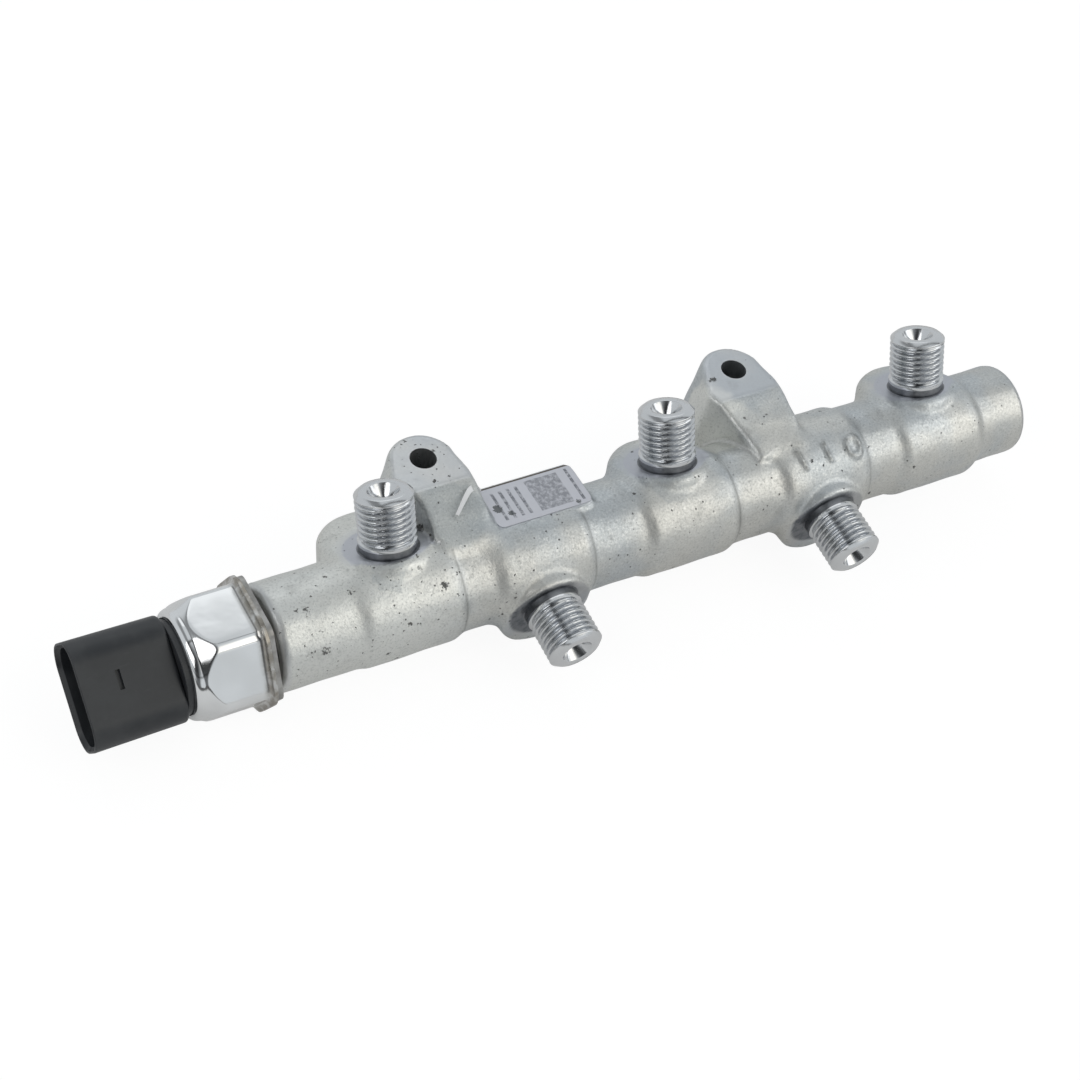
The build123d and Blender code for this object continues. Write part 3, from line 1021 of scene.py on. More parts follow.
@dataclass
class ForgedBody:
    """The forging: collars, bosses, lugs and the label's flat, melted together as forged steel is."""

    layout: RailLayout = LAYOUT
    finish: ForgedSteel = ForgedSteel()
    voxel: float = 0.60
    rounds: int = 3
    valley_rounds: int = 34
    boss_rounds: int = 20
    bend_rounds: int = 14
    pull: float = 0.5
    machined_hold: float = 0.86
    left_end: Pair = (1.5, 1.9)
    right_end: Pair = (0.9, 1.2)
    seat_band: Pair = (0.2, 0.45)
    seat_reach: Pair = (11.0, 13.5)
    hole_band: Pair = (0.3, 0.6)
    pad_band: Pair = (0.25, 0.5)
    pad_reach: Pair = (12.0, 14.0)
    pad_edge: Pair = (-0.6, 0.1)
    flat_band: float = 0.5
    valley_place: Point = (5.5, -25.0, 28.5)
    valley_reach: Pair = (3.5, 9.0)
    boss_inside: Pair = (10.6, 12.4)
    boss_outside: Pair = (15.0, 17.0)
    boss_foot: Pair = (3.0, 5.0)
    boss_top: Pair = (1.0, 2.6)
    seat_face_band: Pair = (0.25, 0.5)
    seat_face_reach: Pair = (10.6, 11.2)
    shade_edge: Pair = (3.0, 7.0)
    shade_loss: float = 0.65
    nipple_radius: float = 7.3
    nipple_root: float = 0.3
    passage_radius: float = 1.6
    passage_root: float = 1.0
    hole_snap: float = 0.5
    bend_full: float = 0.35
    lumps: float = 0.10
    first_wave: Point = (0.31, 0.52, -0.23)
    second_wave: Point = (-0.17, 0.44, 0.39)
    mark_height: float = 0.46
    mark_half: Pair = (0.35, 0.95)
    mark_reach: float = 15.5
    bars: tuple[tuple[Pair, Pair], ...] = (
        ((48.8, 18.2), (49.7, 13.2)),
        ((56.8, 18.4), (57.4, 13.4)),
    )
    ring: tuple[float, float, float, float] = (65.0, 15.2, 1.9, 2.6)

    def outer_skin(self) -> bpy.types.Mesh:
        """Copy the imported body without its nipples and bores, and close what that opens.

        Returns:
            A closed mesh in metres.
        """
        form = bmesh.new()
        form.from_mesh(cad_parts["rail_body"].data)
        bmesh.ops.remove_doubles(form, verts=form.verts, dist=2e-6)
        form.verts.ensure_lookup_table()
        points = np.array([vertex.co for vertex in form.verts]) / MM
        layout = self.layout
        from_axis = np.hypot(points[:, 1] - layout.axis_y, points[:, 2] - layout.axis_z)
        groups = [(from_axis < layout.bore_radius) & (points[:, 0] < layout.gallery_stop + 1.0)]
        for index in range(len(layout.port_x)):
            along, away = layout.port(index).measure(points)
            groups.append((away < self.nipple_radius) & (along > layout.seat(index) - self.nipple_root))
            groups.append((away < self.passage_radius) & (along > self.passage_root))
        hidden = np.array(groups)
        doomed = [face for face in form.faces if hidden[:, [v.index for v in face.verts]].all(1).any()]
        bmesh.ops.delete(form, geom=doomed, context="FACES")
        bmesh.ops.holes_fill(form, edges=[edge for edge in form.edges if edge.is_boundary], sides=0)
        mesh = bpy.data.meshes.new("outer_skin")
        form.to_mesh(mesh)
        form.free()
        return mesh

    def even_mesh(self) -> tuple[np.ndarray, list[list[int]], np.ndarray]:
        """Cover the outer skin with even quads.

        Returns:
            Points in millimetres, faces, and the edges as pairs of point numbers.
        """
        holder = bpy.data.objects.new("even_skin", self.outer_skin())
        bpy.context.scene.collection.objects.link(holder)
        cover = holder.modifiers.new("cover", "REMESH")
        cover.mode = "VOXEL"
        cover.voxel_size = self.voxel * MM
        graph = bpy.context.evaluated_depsgraph_get()
        made = bpy.data.meshes.new_from_object(holder.evaluated_get(graph))
        points = np.empty(len(made.vertices) * 3)
        made.vertices.foreach_get("co", points)
        edges = np.empty(len(made.edges) * 2, np.int64)
        made.edges.foreach_get("vertices", edges)
        faces = [list(face.vertices) for face in made.polygons]
        bpy.data.objects.remove(holder)
        return points.reshape(-1, 3) / MM, faces, edges.reshape(-1, 2)

    def machined_faces(self, points: np.ndarray) -> np.ndarray:
        """Say how far each point belongs to a machined face.

        Args:
            points: points in millimetres.

        Returns:
            1 on seats, pads, holes and ends, and 0 on the forged skin.
        """
        layout = self.layout
        x, y, z = points.T
        worked = np.maximum(near(x - layout.start, *self.left_end), near(x - layout.stop, *self.right_end))
        for index in range(len(layout.port_x)):
            along, away = layout.port(index).measure(points)
            face = near(along - layout.seat(index), *self.seat_band) * near(away, *self.seat_reach)
            worked = np.maximum(worked, face)
        for lug_x in layout.lug_x:
            away = np.hypot(x - lug_x, y)
            hole = near(np.maximum(away - layout.hole_radius, 0.0), *self.hole_band)
            pad = near(z - layout.pad_z, *self.pad_band) * near(away, *self.pad_reach)
            pad = pad * smooth_step(*self.pad_edge, y + layout.pad_depth)
            worked = np.maximum(worked, np.maximum(hole, pad))
        on_flat = (x > layout.flat_x[0]) & (x < layout.flat_x[1])
        on_flat &= (y > layout.flat_y[0]) & (np.abs(z - layout.flat_z) < self.flat_band)
        return np.maximum(worked, on_flat.astype(float))

    def lug_valleys(self, points: np.ndarray) -> np.ndarray:
        """Say how far each point lies where a lug's slope runs out into the rail.

        Args:
            points: points in millimetres.

        Returns:
            1 in the middle of each place, falling to 0 round it.
        """
        share = np.zeros(len(points))
        for lug_x in self.layout.lug_x:
            middle = np.array([lug_x, 0.0, 0.0]) + np.array(self.valley_place)
            gap = np.linalg.norm(points - middle, axis=1)
            share = np.maximum(share, near(gap, *self.valley_reach))
        return share

    def boss_valleys(self, points: np.ndarray) -> np.ndarray:
        """Say how far each point lies where an upright boss runs out into the rail.

        Args:
            points: points in millimetres.

        Returns:
            1 in the valley round each boss and 0 away from it.
        """
        layout = self.layout
        share = np.zeros(len(points))
        for index, slanted in enumerate(layout.port_is_slanted):
            if not slanted:
                along, away = layout.port(index).measure(points)
                below = layout.seat(index) - along
                ring = smooth_step(*self.boss_inside, away) * near(away, *self.boss_outside)
                height = smooth_step(*self.boss_foot, along) * smooth_step(*self.boss_top, below)
                share = np.maximum(share, ring * height)
        return share

    def round_holes(self, points: np.ndarray) -> np.ndarray:
        """Move the points near the wall of a bolt hole onto it, so that drilled holes stay round.

        Args:
            points: points in millimetres.

        Returns:
            The moved points.
        """
        moved = points.copy()
        for lug_x in self.layout.lug_x:
            offset = points[:, :2] - np.array([lug_x, 0.0])
            away = np.maximum(np.linalg.norm(offset, axis=1), 1e-6)
            wall = np.abs(away - self.layout.hole_radius) < self.hole_snap
            moved[wall, :2] += offset[wall] * (self.layout.hole_radius / away[wall] - 1.0)[:, None]
        return moved

    def near_seats(self, points: np.ndarray, slanted: bool) -> np.ndarray:
        """Say how far each point belongs to the seats of one kind of port.

        Args:
            points: points in millimetres.
            slanted: True for the slanted ports, False for the upright ones.

        Returns:
            1 on the seats and 0 elsewhere.
        """
        layout = self.layout
        share = np.zeros(len(points))
        for index in range(len(layout.port_x)):
            if layout.port_is_slanted[index] == slanted:
                along, away = layout.port(index).measure(points)
                face = near(along - layout.seat(index), *self.seat_face_band) * near(away, *self.seat_face_reach)
                share = np.maximum(share, face)
        return share

    def beside_slanted(self, points: np.ndarray) -> np.ndarray:
        """Say how strong the painted shade is on a slanted seat: full on its left, weaker on its right.

        Args:
            points: points in millimetres.

        Returns:
            The share that is left, up to 1.
        """
        places = np.array(self.layout.port_x)[np.array(self.layout.port_is_slanted)]
        gaps = points[:, :1] - places
        gap = gaps[np.arange(len(gaps)), np.abs(gaps).argmin(axis=1)]
        return 1.0 - self.shade_loss * smooth_step(*self.shade_edge, gap)

    def cast_marks(self, points: np.ndarray) -> np.ndarray:
        """Work out the height of the raised marks on the fourth collar: two bars and a ring.

        The collar is unrolled: one coordinate is X, the other the arc from straight forward up.
        A mark is full height within its half width of its line and fades out beyond.

        Args:
            points: points in millimetres.

        Returns:
            The height at each point.
        """
        layout = self.layout
        arc = layout.collar_radius * np.arctan2(points[:, 2] - layout.axis_z, layout.axis_y - points[:, 1])
        flat = np.stack([points[:, 0], arc], 1)
        centre, radii = np.array(self.ring[:2]), np.array(self.ring[2:])
        nearest = np.abs(np.linalg.norm((flat - centre) / radii, axis=1) - 1.0) * radii.min()
        for start, stop in self.bars:
            first, along = np.array(start), np.array(stop) - np.array(start)
            part = np.clip((flat - first) @ along / (along @ along), 0.0, 1.0)
            nearest = np.minimum(nearest, np.linalg.norm(flat - first - part[:, None] * along, axis=1))
        on_skin = np.hypot(points[:, 1] - layout.axis_y, points[:, 2] - layout.axis_z) < self.mark_reach
        return self.mark_height * near(nearest, *self.mark_half) * on_skin

    @staticmethod
    def relax(points: np.ndarray, edges: np.ndarray, weight: np.ndarray, rounds: int) -> np.ndarray:
        """Move each point part of the way to the mean of its neighbours, again and again.

        Args:
            points: points of shape (n, 3).
            edges: pairs of neighbours.
            weight: part of the way each point moves per round.
            rounds: number of rounds.

        Returns:
            The moved points.
        """
        count = len(points)
        first = np.concatenate([edges[:, 0], edges[:, 1]])
        second = np.concatenate([edges[:, 1], edges[:, 0]])
        degree = np.maximum(np.bincount(first, minlength=count), 1)[:, None]
        moved = points.copy()
        for _ in range(rounds):
            total = np.stack([np.bincount(first, moved[second, axis], count) for axis in range(3)], 1)
            moved += weight[:, None] * (total / degree - moved)
        return moved

    def soften(self, points: np.ndarray, edges: np.ndarray, worked: np.ndarray) -> np.ndarray:
        """Round the edges as a die leaves them, run lugs and bosses out into the rail, keep holes round.

        Args:
            points: points in millimetres.
            edges: pairs of neighbours.
            worked: 1 on machined faces and 0 on the forged skin.

        Returns:
            The moved points.
        """
        forged = 1.0 - worked
        soft = self.relax(points, edges, self.pull * (1.0 - self.machined_hold * worked), self.rounds)
        soft = self.relax(soft, edges, self.pull * self.lug_valleys(soft) * forged, self.valley_rounds)
        soft = self.relax(soft, edges, self.pull * self.boss_valleys(soft) * forged, self.boss_rounds)
        return self.round_holes(soft)

    def build(self) -> list[Piece]:
        """Build the forging, with shallow lumps: the product of the sines of two slanting coordinates.

        Returns:
            The piece.
        """
        points, faces, edges = self.even_mesh()
        worked = self.machined_faces(points)
        soft = self.soften(points, edges, worked)
        mesh = mesh_from_arrays("forged_body", soft, faces, 50.0)
        normals = np.empty(len(mesh.vertices) * 3)
        mesh.vertices.foreach_get("normal", normals)
        normals = normals.reshape(-1, 3)
        softer = self.relax(soft, edges, np.full(len(soft), self.pull), self.bend_rounds)
        bend = np.einsum("ij,ij->i", softer - soft, normals)
        waves = np.sin(soft @ np.array(self.first_wave) + 1.0) * np.sin(soft @ np.array(self.second_wave))
        swell = waves * self.lumps * (1.0 - smooth_step(0.0, 0.3, worked)) + self.cast_marks(soft)
        soft = soft + normals * swell[:, None]
        mesh.vertices.foreach_set("co", (soft * MM).ravel())
        mesh.update()
        store(mesh, "machined", worked)
        store(mesh, "seat", np.maximum(self.near_seats(soft, False), worked * 0.35))
        # painted shade on the slanted seats, weaker to their right
        store(mesh, "slanted_seat_shade", self.near_seats(soft, True) * self.beside_slanted(soft))
        # concavity: the material paints shade into the hollows and lightens the ridges as wear
        store(mesh, "hollow", np.clip(bend / self.bend_full, -1.0, 1.0))
        store(mesh, "marks", self.cast_marks(soft) / self.mark_height)
        piece = Piece("forged_body", mesh, "forged_steel").stand_for("rail_body")
        return [piece.dress(self.finish.material())]


@dataclass
class PipeNipples:
    """The five threaded nipples with their sealing cones."""

    layout: RailLayout = LAYOUT
    finish: ThreadSteel = ThreadSteel()
    radius: float = 7.0
    pitch: float = 1.5
    depth: float = 0.84
    shank_radius: float = 7.10
    shank: float = 2.6
    band: float = 1.7
    relief: float = 0.45
    land: float = 1.15
    chamfer: float = 1.10
    bevel: float = 0.95
    mouth: float = 3.85
    passage: float = 1.5
    flank: Pair = (0.12, 0.92)
    fade_in: Pair = (-0.4, 0.6)
    fade_out: Pair = (0.0, 0.9)
    undercut: Pair = (-0.2, 0.9)
    steps_per_turn: int = 96
    steps_per_pitch: int = 12

    def outline(self, seat: float) -> tuple[np.ndarray, np.ndarray, np.ndarray]:
        """List the rings of a nipple from its foot to the bottom of its passage.

        Args:
            seat: height of the seat above the rail's axis.

        Returns:
            Heights, radii, and how far each ring takes part in the thread.
        """
        tip = self.layout.tip
        cone = (self.mouth - self.passage) / math.tan(math.radians(30.0))
        first = seat + self.shank + self.relief
        last = tip - self.land
        turns = np.arange(first, last, self.pitch / self.steps_per_pitch)
        foot = [
            (seat - 0.6, self.shank_radius + 0.35),
            (seat + 0.02, self.shank_radius + 0.35),
            (seat + 0.12, self.shank_radius - 0.05),
            (seat + self.band - 0.10, self.shank_radius - 0.10),
            (seat + self.band + 0.05, self.shank_radius),
            (seat + self.shank - 0.15, self.shank_radius),
            (seat + self.shank, self.shank_radius - 0.15),
            (first - 0.2, self.radius - self.depth),
        ]
        tip_rings = [
            (last + 0.05, self.radius),
            (tip - self.bevel - 0.03, self.radius),
            (tip - self.bevel + 0.03, self.radius - 0.05),
            (tip - 0.04, self.radius - self.chamfer + 0.04),
            (tip, self.radius - self.chamfer - 0.03),
            (tip, self.mouth + 0.16),
            (tip - 0.03, self.mouth + 0.06),
            (tip - 0.12, self.mouth - 0.02),
            (tip - cone + 0.1, self.passage + 0.06),
            (tip - cone - 0.1, self.passage),
            (tip - 4.6, self.passage),
            (tip - 16.0, self.passage),
        ]
        cut_rings = np.stack([turns, np.full(len(turns), self.radius)], 1)
        heights, radii = np.concatenate([foot, cut_rings, tip_rings]).T
        threaded = np.zeros(len(heights))
        threaded[len(foot) : len(foot) + len(turns)] = 1.0
        return heights, radii, threaded

    def thread_cut(self, heights: np.ndarray, turn: np.ndarray, seat: float) -> np.ndarray:
        """Work out how deep the helix cuts at each point, from 0 to 1.

        The phase is height over pitch minus the angle in turns. The cut is deepest at phase one half,
        fades in over the first turn and out over the last, and starts from a full undercut.

        Args:
            heights: heights, one per ring.
            turn: angles in radians, one per column.
            seat: height of the seat.

        Returns:
            The cut for each ring and column.
        """
        phase = np.mod(heights[:, None] / self.pitch - turn[None, :] / (2.0 * math.pi), 1.0)
        cut = near((phase - 0.5) * 2.0, *self.flank)
        from_start = heights - (seat + self.shank + self.relief)
        to_end = self.layout.tip - self.land - heights
        fade = smooth_step(*self.fade_in, from_start) * smooth_step(*self.fade_out, to_end)
        entry = 1.0 - smooth_step(*self.undercut, from_start)
        return np.maximum(cut * fade[:, None], entry[:, None])

    def build(self) -> list[Piece]:
        """Build the nipples.

        Returns:
            One piece per nipple.
        """
        material = self.finish.material()
        pieces: list[Piece] = []
        turn = np.linspace(0.0, 2.0 * math.pi, self.steps_per_turn, endpoint=False)
        for index in range(len(self.layout.port_x)):
            seat = self.layout.seat(index)
            heights, radii, threaded = self.outline(seat)
            cut = self.thread_cut(heights, turn, seat) * threaded[:, None]
            local = turned_rings(radii[:, None] - self.depth * cut, heights, turn)
            name = f"pipe_nipple_{index + 1}"
            mesh = lofted_mesh(name, self.layout.port(index).place(local), 40.0)
            # painted shade: a dark ring at the foot and the bore below the cone
            foot = smooth_step(seat + self.band + 0.05, seat + self.band - 0.15, heights)
            foot = np.maximum(foot, (radii < self.passage + 0.01) & (heights < self.layout.tip - 4.3))
            store(mesh, "cut", np.append(cut.ravel(), [0.0, 0.0]))
            store(mesh, "foot", np.append(np.repeat(foot, self.steps_per_turn), [0.0, 0.0]))
            pieces.append(Piece(name, mesh, "forged_steel").dress(material))
        return pieces


@dataclass
class SensorCan:
    """The drawn hexagonal can, its turned-out flange and the crimp round the connector."""

    layout: RailLayout = LAYOUT
    finish: MirrorSteel = MirrorSteel()
    start: float = 2.9
    flange: float = 1.0
    flange_half: float = 15.5
    flange_corner: float = 16.75
    half: float = 13.75
    corner: float = 15.35
    wall: float = 1.0
    flare: float = 1.5
    body_stop: float = 13.5
    round_stop: float = 18.7
    stop: float = 20.8
    shoulder: float = 15.9
    end: float = 13.3
    crimp: float = 1.4
    lip: float = 11.45
    edge_round: float = 0.12
    cone_rows: int = 44
    roll_rows: int = 16
    flange_blend: float = 0.22
    body_blend: float = 0.16
    crimp_blend: float = 0.07
    columns: int = 420

    @staticmethod
    def hexagon(turn: np.ndarray, half: float, corner: float, blend: float) -> np.ndarray:
        """Return the radius of a hexagon with rounded corners, a corner at angle 0.

        The flat's radius is half / cos(angle from the flat's middle), kept under the corner radius.

        Args:
            turn: angles in radians.
            half: half the distance across the flats.
            corner: radius of the corners.
            blend: width of the rounding.

        Returns:
            The radii.
        """
        sixth = math.pi / 3.0
        from_flat = np.mod(turn, sixth) - sixth / 2.0
        return soft_min(half / np.cos(from_flat), np.full_like(turn, corner), blend)

    def crimp_radius(self, station: float) -> float:
        """Return the radius of the turned form that presses the corners round.

        It is a straight cone from the shoulder and a quarter turn of an ellipse at the end.

        Args:
            station: distance out from the rail's end face.

        Returns:
            The radius.
        """
        if station <= self.round_stop:
            slope = (self.shoulder - self.end) / (self.round_stop - self.body_stop)
            return self.shoulder - slope * (station - self.body_stop)
        t = (station - self.round_stop) / (self.stop - self.round_stop)
        return self.end - self.crimp + self.crimp * math.sqrt(max(0.0, 1.0 - t * t)) - 0.15 * t

    def pressed(self, body: np.ndarray, station: float, wall: float = 0.0) -> np.ndarray:
        """Return a hexagon's radii under the crimp: the smaller of the two, softly blended.

        Args:
            body: radii of the hexagon.
            station: distance out from the rail's end face.
            wall: how far inside the crimp it lies.

        Returns:
            The radii.
        """
        crimp = self.crimp_radius(station) - wall
        return soft_min(body, np.full_like(body, crimp), self.crimp_blend)

    def build(self) -> list[Piece]:
        """Build the can as one closed shell, outside from flange to lip and back inside.

        Returns:
            The piece.
        """
        turn = np.linspace(0.0, 2.0 * math.pi, self.columns, endpoint=False)
        flange = self.hexagon(turn, self.flange_half, self.flange_corner, self.flange_blend)
        body = self.hexagon(turn, self.half, self.corner, self.body_blend)
        inside = self.hexagon(turn, self.half - self.wall, self.corner - self.wall, self.body_blend)
        low, high = self.start, self.start + self.flange
        drawn_in = flange - self.edge_round
        rows = [(low, drawn_in), (low + 0.1, flange), (high - self.edge_round, flange), (high, drawn_in)]
        for angle in np.linspace(0.0, math.pi / 2.0, 9):
            reach = np.minimum(flange - 0.2, body + self.flare * (1.0 - math.sin(angle)))
            rows.append((high + self.flare * (1.0 - math.cos(angle)), reach))
        cone = np.linspace(high + self.flare + 0.3, self.round_stop, self.cone_rows)
        roll = np.linspace(self.round_stop + self.edge_round, self.stop, self.roll_rows)
        rows += [(station, self.pressed(body, station)) for station in np.append(cone, roll)]
        lip_rings = [(0.0, self.lip + 0.08), (0.08, self.lip), (0.8, self.lip), (0.85, self.end - 1.0)]
        rows += [(self.stop - inward, np.full_like(body, radius)) for inward, radius in lip_rings]
        for station in (self.round_stop, self.round_stop - 2.6, self.body_stop):
            rows.append((station, self.pressed(inside, station, self.wall)))
        rows.append((self.start, inside))
        stations = np.array([station for station, _ in rows])
        local = turned_rings(np.array([radius for _, radius in rows]), stations, turn)
        mesh = lofted_mesh("sensor_can_shell", self.layout.sensor(0.0).place(local), 35.0, ring_closes=True)
        edge = smooth_step(self.start + 3.2, self.start + 0.9, stations)
        store(mesh, "edge", np.repeat(edge, self.columns))
        piece = Piece("sensor_can_shell", mesh, "can_steel").stand_for("sensor_can")
        return [piece.dress(self.finish.material())]


@dataclass
class PlugShroud:
    """The black connector: a round neck, an oval shroud and its socket."""

    layout: RailLayout = LAYOUT
    finish: MouldedPlastic = MouldedPlastic(
        "black_plastic", (0.020, 0.0225, 0.026), (0.050, 0.053, 0.056), 0.36
    )
    tilt: float = 54.2
    neck_radius: float = 11.3
    neck_start: float = 19.4
    start: float = 22.2
    stop: float = 44.4
    floor: float = 25.4
    width: float = 16.8
    height: float = 25.5
    corner: float = 6.2
    wall: float = 1.3
    edge: float = 0.9
    draft: float = 0.25
    slot_from: float = 34.9
    slot_to: float = 35.9
    slot_low: float = -1.0
    slot_high: float = 3.4
    slot_depth: float = 0.9

    def side_stations(self, half: float) -> np.ndarray:
        """Return places along the long flat side, with close pairs at the ends of the latch slot."""
        fine = [self.slot_low - 0.05, self.slot_low, self.slot_high, self.slot_high + 0.05]
        return np.unique(np.concatenate([np.linspace(-half, half, 16)[1:-1], fine]))

    def oval(self, shrink: float) -> np.ndarray:
        """Return the rounded rectangle, made smaller all round.

        Four quarter circles of the corner radius are joined by straight sides.

        Args:
            shrink: how far it is drawn in, in millimetres.

        Returns:
            Points of shape (n, 2), anticlockwise.
        """
        radius = self.corner - shrink
        half_w = self.width / 2.0 - self.corner
        half_h = self.height / 2.0 - self.corner
        quarter = np.linspace(0.0, math.pi / 2.0, 17)
        side = self.side_stations(half_h)
        top = np.linspace(half_w, -half_w, 6)[1:-1]
        parts = []
        right = half_w + radius
        parts.append(np.stack([np.full(len(side), right), side], 1))
        parts.append(np.stack([half_w + radius * np.cos(quarter), half_h + radius * np.sin(quarter)], 1))
        parts.append(np.stack([top, np.full(len(top), half_h + radius)], 1))
        parts.append(np.stack([-half_w - radius * np.sin(quarter), half_h + radius * np.cos(quarter)], 1))
        parts.append(np.stack([np.full(len(side), -right), side[::-1]], 1))
        parts.append(np.stack([-half_w - radius * np.cos(quarter), -half_h - radius * np.sin(quarter)], 1))
        parts.append(np.stack([-top, np.full(len(top), -half_h - radius)], 1))
        parts.append(np.stack([half_w + radius * np.sin(quarter), -half_h - radius * np.cos(quarter)], 1))
        return np.concatenate(parts)

    def build(self) -> list[Piece]:
        """Build the connector as one closed skin from its neck round the mouth to the socket's floor.

        Returns:
            The piece.
        """
        full = self.oval(0.0)
        lengths = np.linalg.norm(full, axis=1, keepdims=True)
        circle = full / lengths * self.neck_radius
        rings: list[np.ndarray] = []

        def ring(outline: np.ndarray, station: float) -> None:
            """Add one ring at a distance out from the rail's end face."""
            rings.append(np.column_stack([outline, np.full(len(outline), station)]))

        ring(circle, self.neck_start)
        ring(circle, self.start - 0.12)
        ring(circle * 0.99, self.start)
        for angle in np.linspace(0.0, math.pi / 2.0, 7):
            inset = self.edge * (1.0 - math.sin(angle))
            ring(self.oval(self.draft + inset), self.start + self.edge * (1.0 - math.cos(angle)))
        span = self.stop - self.start
        even = np.linspace(self.start + self.edge + 0.4, self.stop - 0.4, 26)
        fine = [self.slot_from - 0.05, self.slot_from, self.slot_to, self.slot_to + 0.05]
        for station in np.unique(np.append(even, fine)):
            outline = self.oval(self.draft * (self.stop - station) / span)
            in_slot = (outline[:, 0] > self.width / 2.0 - 0.6) & (outline[:, 1] > self.slot_low - 0.01)
            in_slot &= outline[:, 1] < self.slot_high + 0.01
            if self.slot_from - 0.01 < station < self.slot_to + 0.01:
                outline = outline - in_slot[:, None] * np.array([self.slot_depth, 0.0])
            ring(outline, station)
        for angle in np.linspace(0.0, math.pi, 7):
            ring(self.oval(0.3 - 0.3 * math.cos(angle)), self.stop - 0.3 + 0.3 * math.sin(angle))
        ring(self.oval(self.wall), self.stop - 1.1)
        ring(self.oval(self.wall), self.floor + 0.3)
        ring(self.oval(self.wall + 0.3), self.floor)
        mesh = lofted_mesh("plug_shroud", self.layout.sensor(self.tilt).place(np.array(rings)), 35.0)
        piece = Piece("plug_shroud", mesh, "black_plastic").stand_for("connector_housing")
        return [piece.dress(self.finish.material())]


@dataclass
class FoilLabel:
    """The foil on its flat, and the torn strip that stands off its left end."""

    layout: RailLayout = LAYOUT
    print_side: PrintedFoil = PrintedFoil()
    torn_side: MouldedPlastic = MouldedPlastic("torn_foil", (0.90, 0.90, 0.91), (0.76, 0.76, 0.77))
    middle: Pair = (-21.8, -16.2)
    length: float = 25.6
    width: float = 12.6
    thickness: float = 0.12
    corner: float = 1.6
    wave: float = 0.025
    strip_knots: tuple[Point, ...] = (
        (-34.2, -10.4, 29.7),
        (-37.6, -11.2, 35.9),
        (-40.2, -14.5, 35.6),
        (-44.3, -17.8, 33.4),
    )
    strip_facing: Point = (0.42, 0.52, -0.75)
    strip_half: Pair = (0.86, 0.42)

    def sheet(self) -> bpy.types.Mesh:
        """Loft thin closed sections along the label; its top lies on a gentle wave.

        Returns:
            The mesh, with the place along and across the label kept per vertex.
        """
        ends = [np.linspace(0.0, 0.06, 8), np.linspace(0.94, 1.0, 8)]
        along = np.concatenate([ends[0], np.linspace(0.08, 0.92, 46), ends[1]])
        place = (along - 0.5) * self.length
        into_corner = np.maximum(self.corner - self.length / 2.0 + np.abs(place), 0.0)
        inset = self.corner - np.sqrt(np.maximum(self.corner**2 - into_corner**2, 0.0))
        across = np.linspace(-1.0, 1.0, 22)
        half = (self.width / 2.0 - inset)[:, None]
        x = np.broadcast_to(place[:, None] + self.middle[0], (len(place), len(across)))
        y = self.middle[1] + half * across[None, :]
        wave = self.wave * (np.sin(0.9 * x + 0.4) * np.cos(1.1 * y) + 1.0)
        top = np.stack([x, y, self.layout.flat_z + self.thickness + wave], -1)
        bottom = np.stack([x, y, np.full(x.shape, self.layout.flat_z + 0.005)], -1)[:, ::-1]
        mesh = lofted_mesh("label_sheet", np.concatenate([top, bottom], 1), 40.0)
        ring_size = 2 * len(across)
        store(mesh, "along", np.concatenate([np.repeat(along, ring_size), [0.0, 1.0]]))
        sides = (np.concatenate([y, y[:, ::-1]], 1) - self.middle[1]) / self.width + 0.5
        store(mesh, "across", np.concatenate([sides.ravel(), [0.5, 0.5]]))
        return mesh

    def strip(self) -> bpy.types.Mesh:
        """Sweep a thin tapering section along a cubic curve from the label's rear left corner.

        The curve is the sum of its four knots, weighted with the cubic Bernstein polynomials.

        Returns:
            The mesh.
        """
        t = np.linspace(0.0, 1.0, 26)[:, None]
        weights = ((1 - t) ** 3, 3 * t * (1 - t) ** 2, 3 * t**2 * (1 - t), t**3)
        path = sum(weight * np.array(knot) for weight, knot in zip(weights, self.strip_knots))
        tangent = np.gradient(path, axis=0)
        tangent /= np.linalg.norm(tangent, axis=1, keepdims=True)
        wide = np.cross(tangent, np.array(self.strip_facing))
        wide /= np.linalg.norm(wide, axis=1, keepdims=True)
        thin = np.cross(wide, tangent)
        root, tip = self.strip_half
        half = root + (tip - root) * t
        corners = [(-1.0, -0.5), (1.0, -0.5), (1.0, 0.5), (-1.0, 0.5)]
        rings = np.stack([path + wide * half * a + thin * self.thickness * b for a, b in corners], 1)
        return lofted_mesh("label_strip", rings, 40.0)

    def build(self) -> list[Piece]:
        """Build the label and its torn strip.

        Returns:
            The two pieces.
        """
        sheet = Piece("label_sheet", self.sheet(), "foil").stand_for("label_foil")
        strip = Piece("label_strip", self.strip(), "foil")
        return [sheet.dress(self.print_side.material()), strip.dress(self.torn_side.material())]


Finish = Union[TurnedSteel, MouldedPlastic, PlatedMetal]


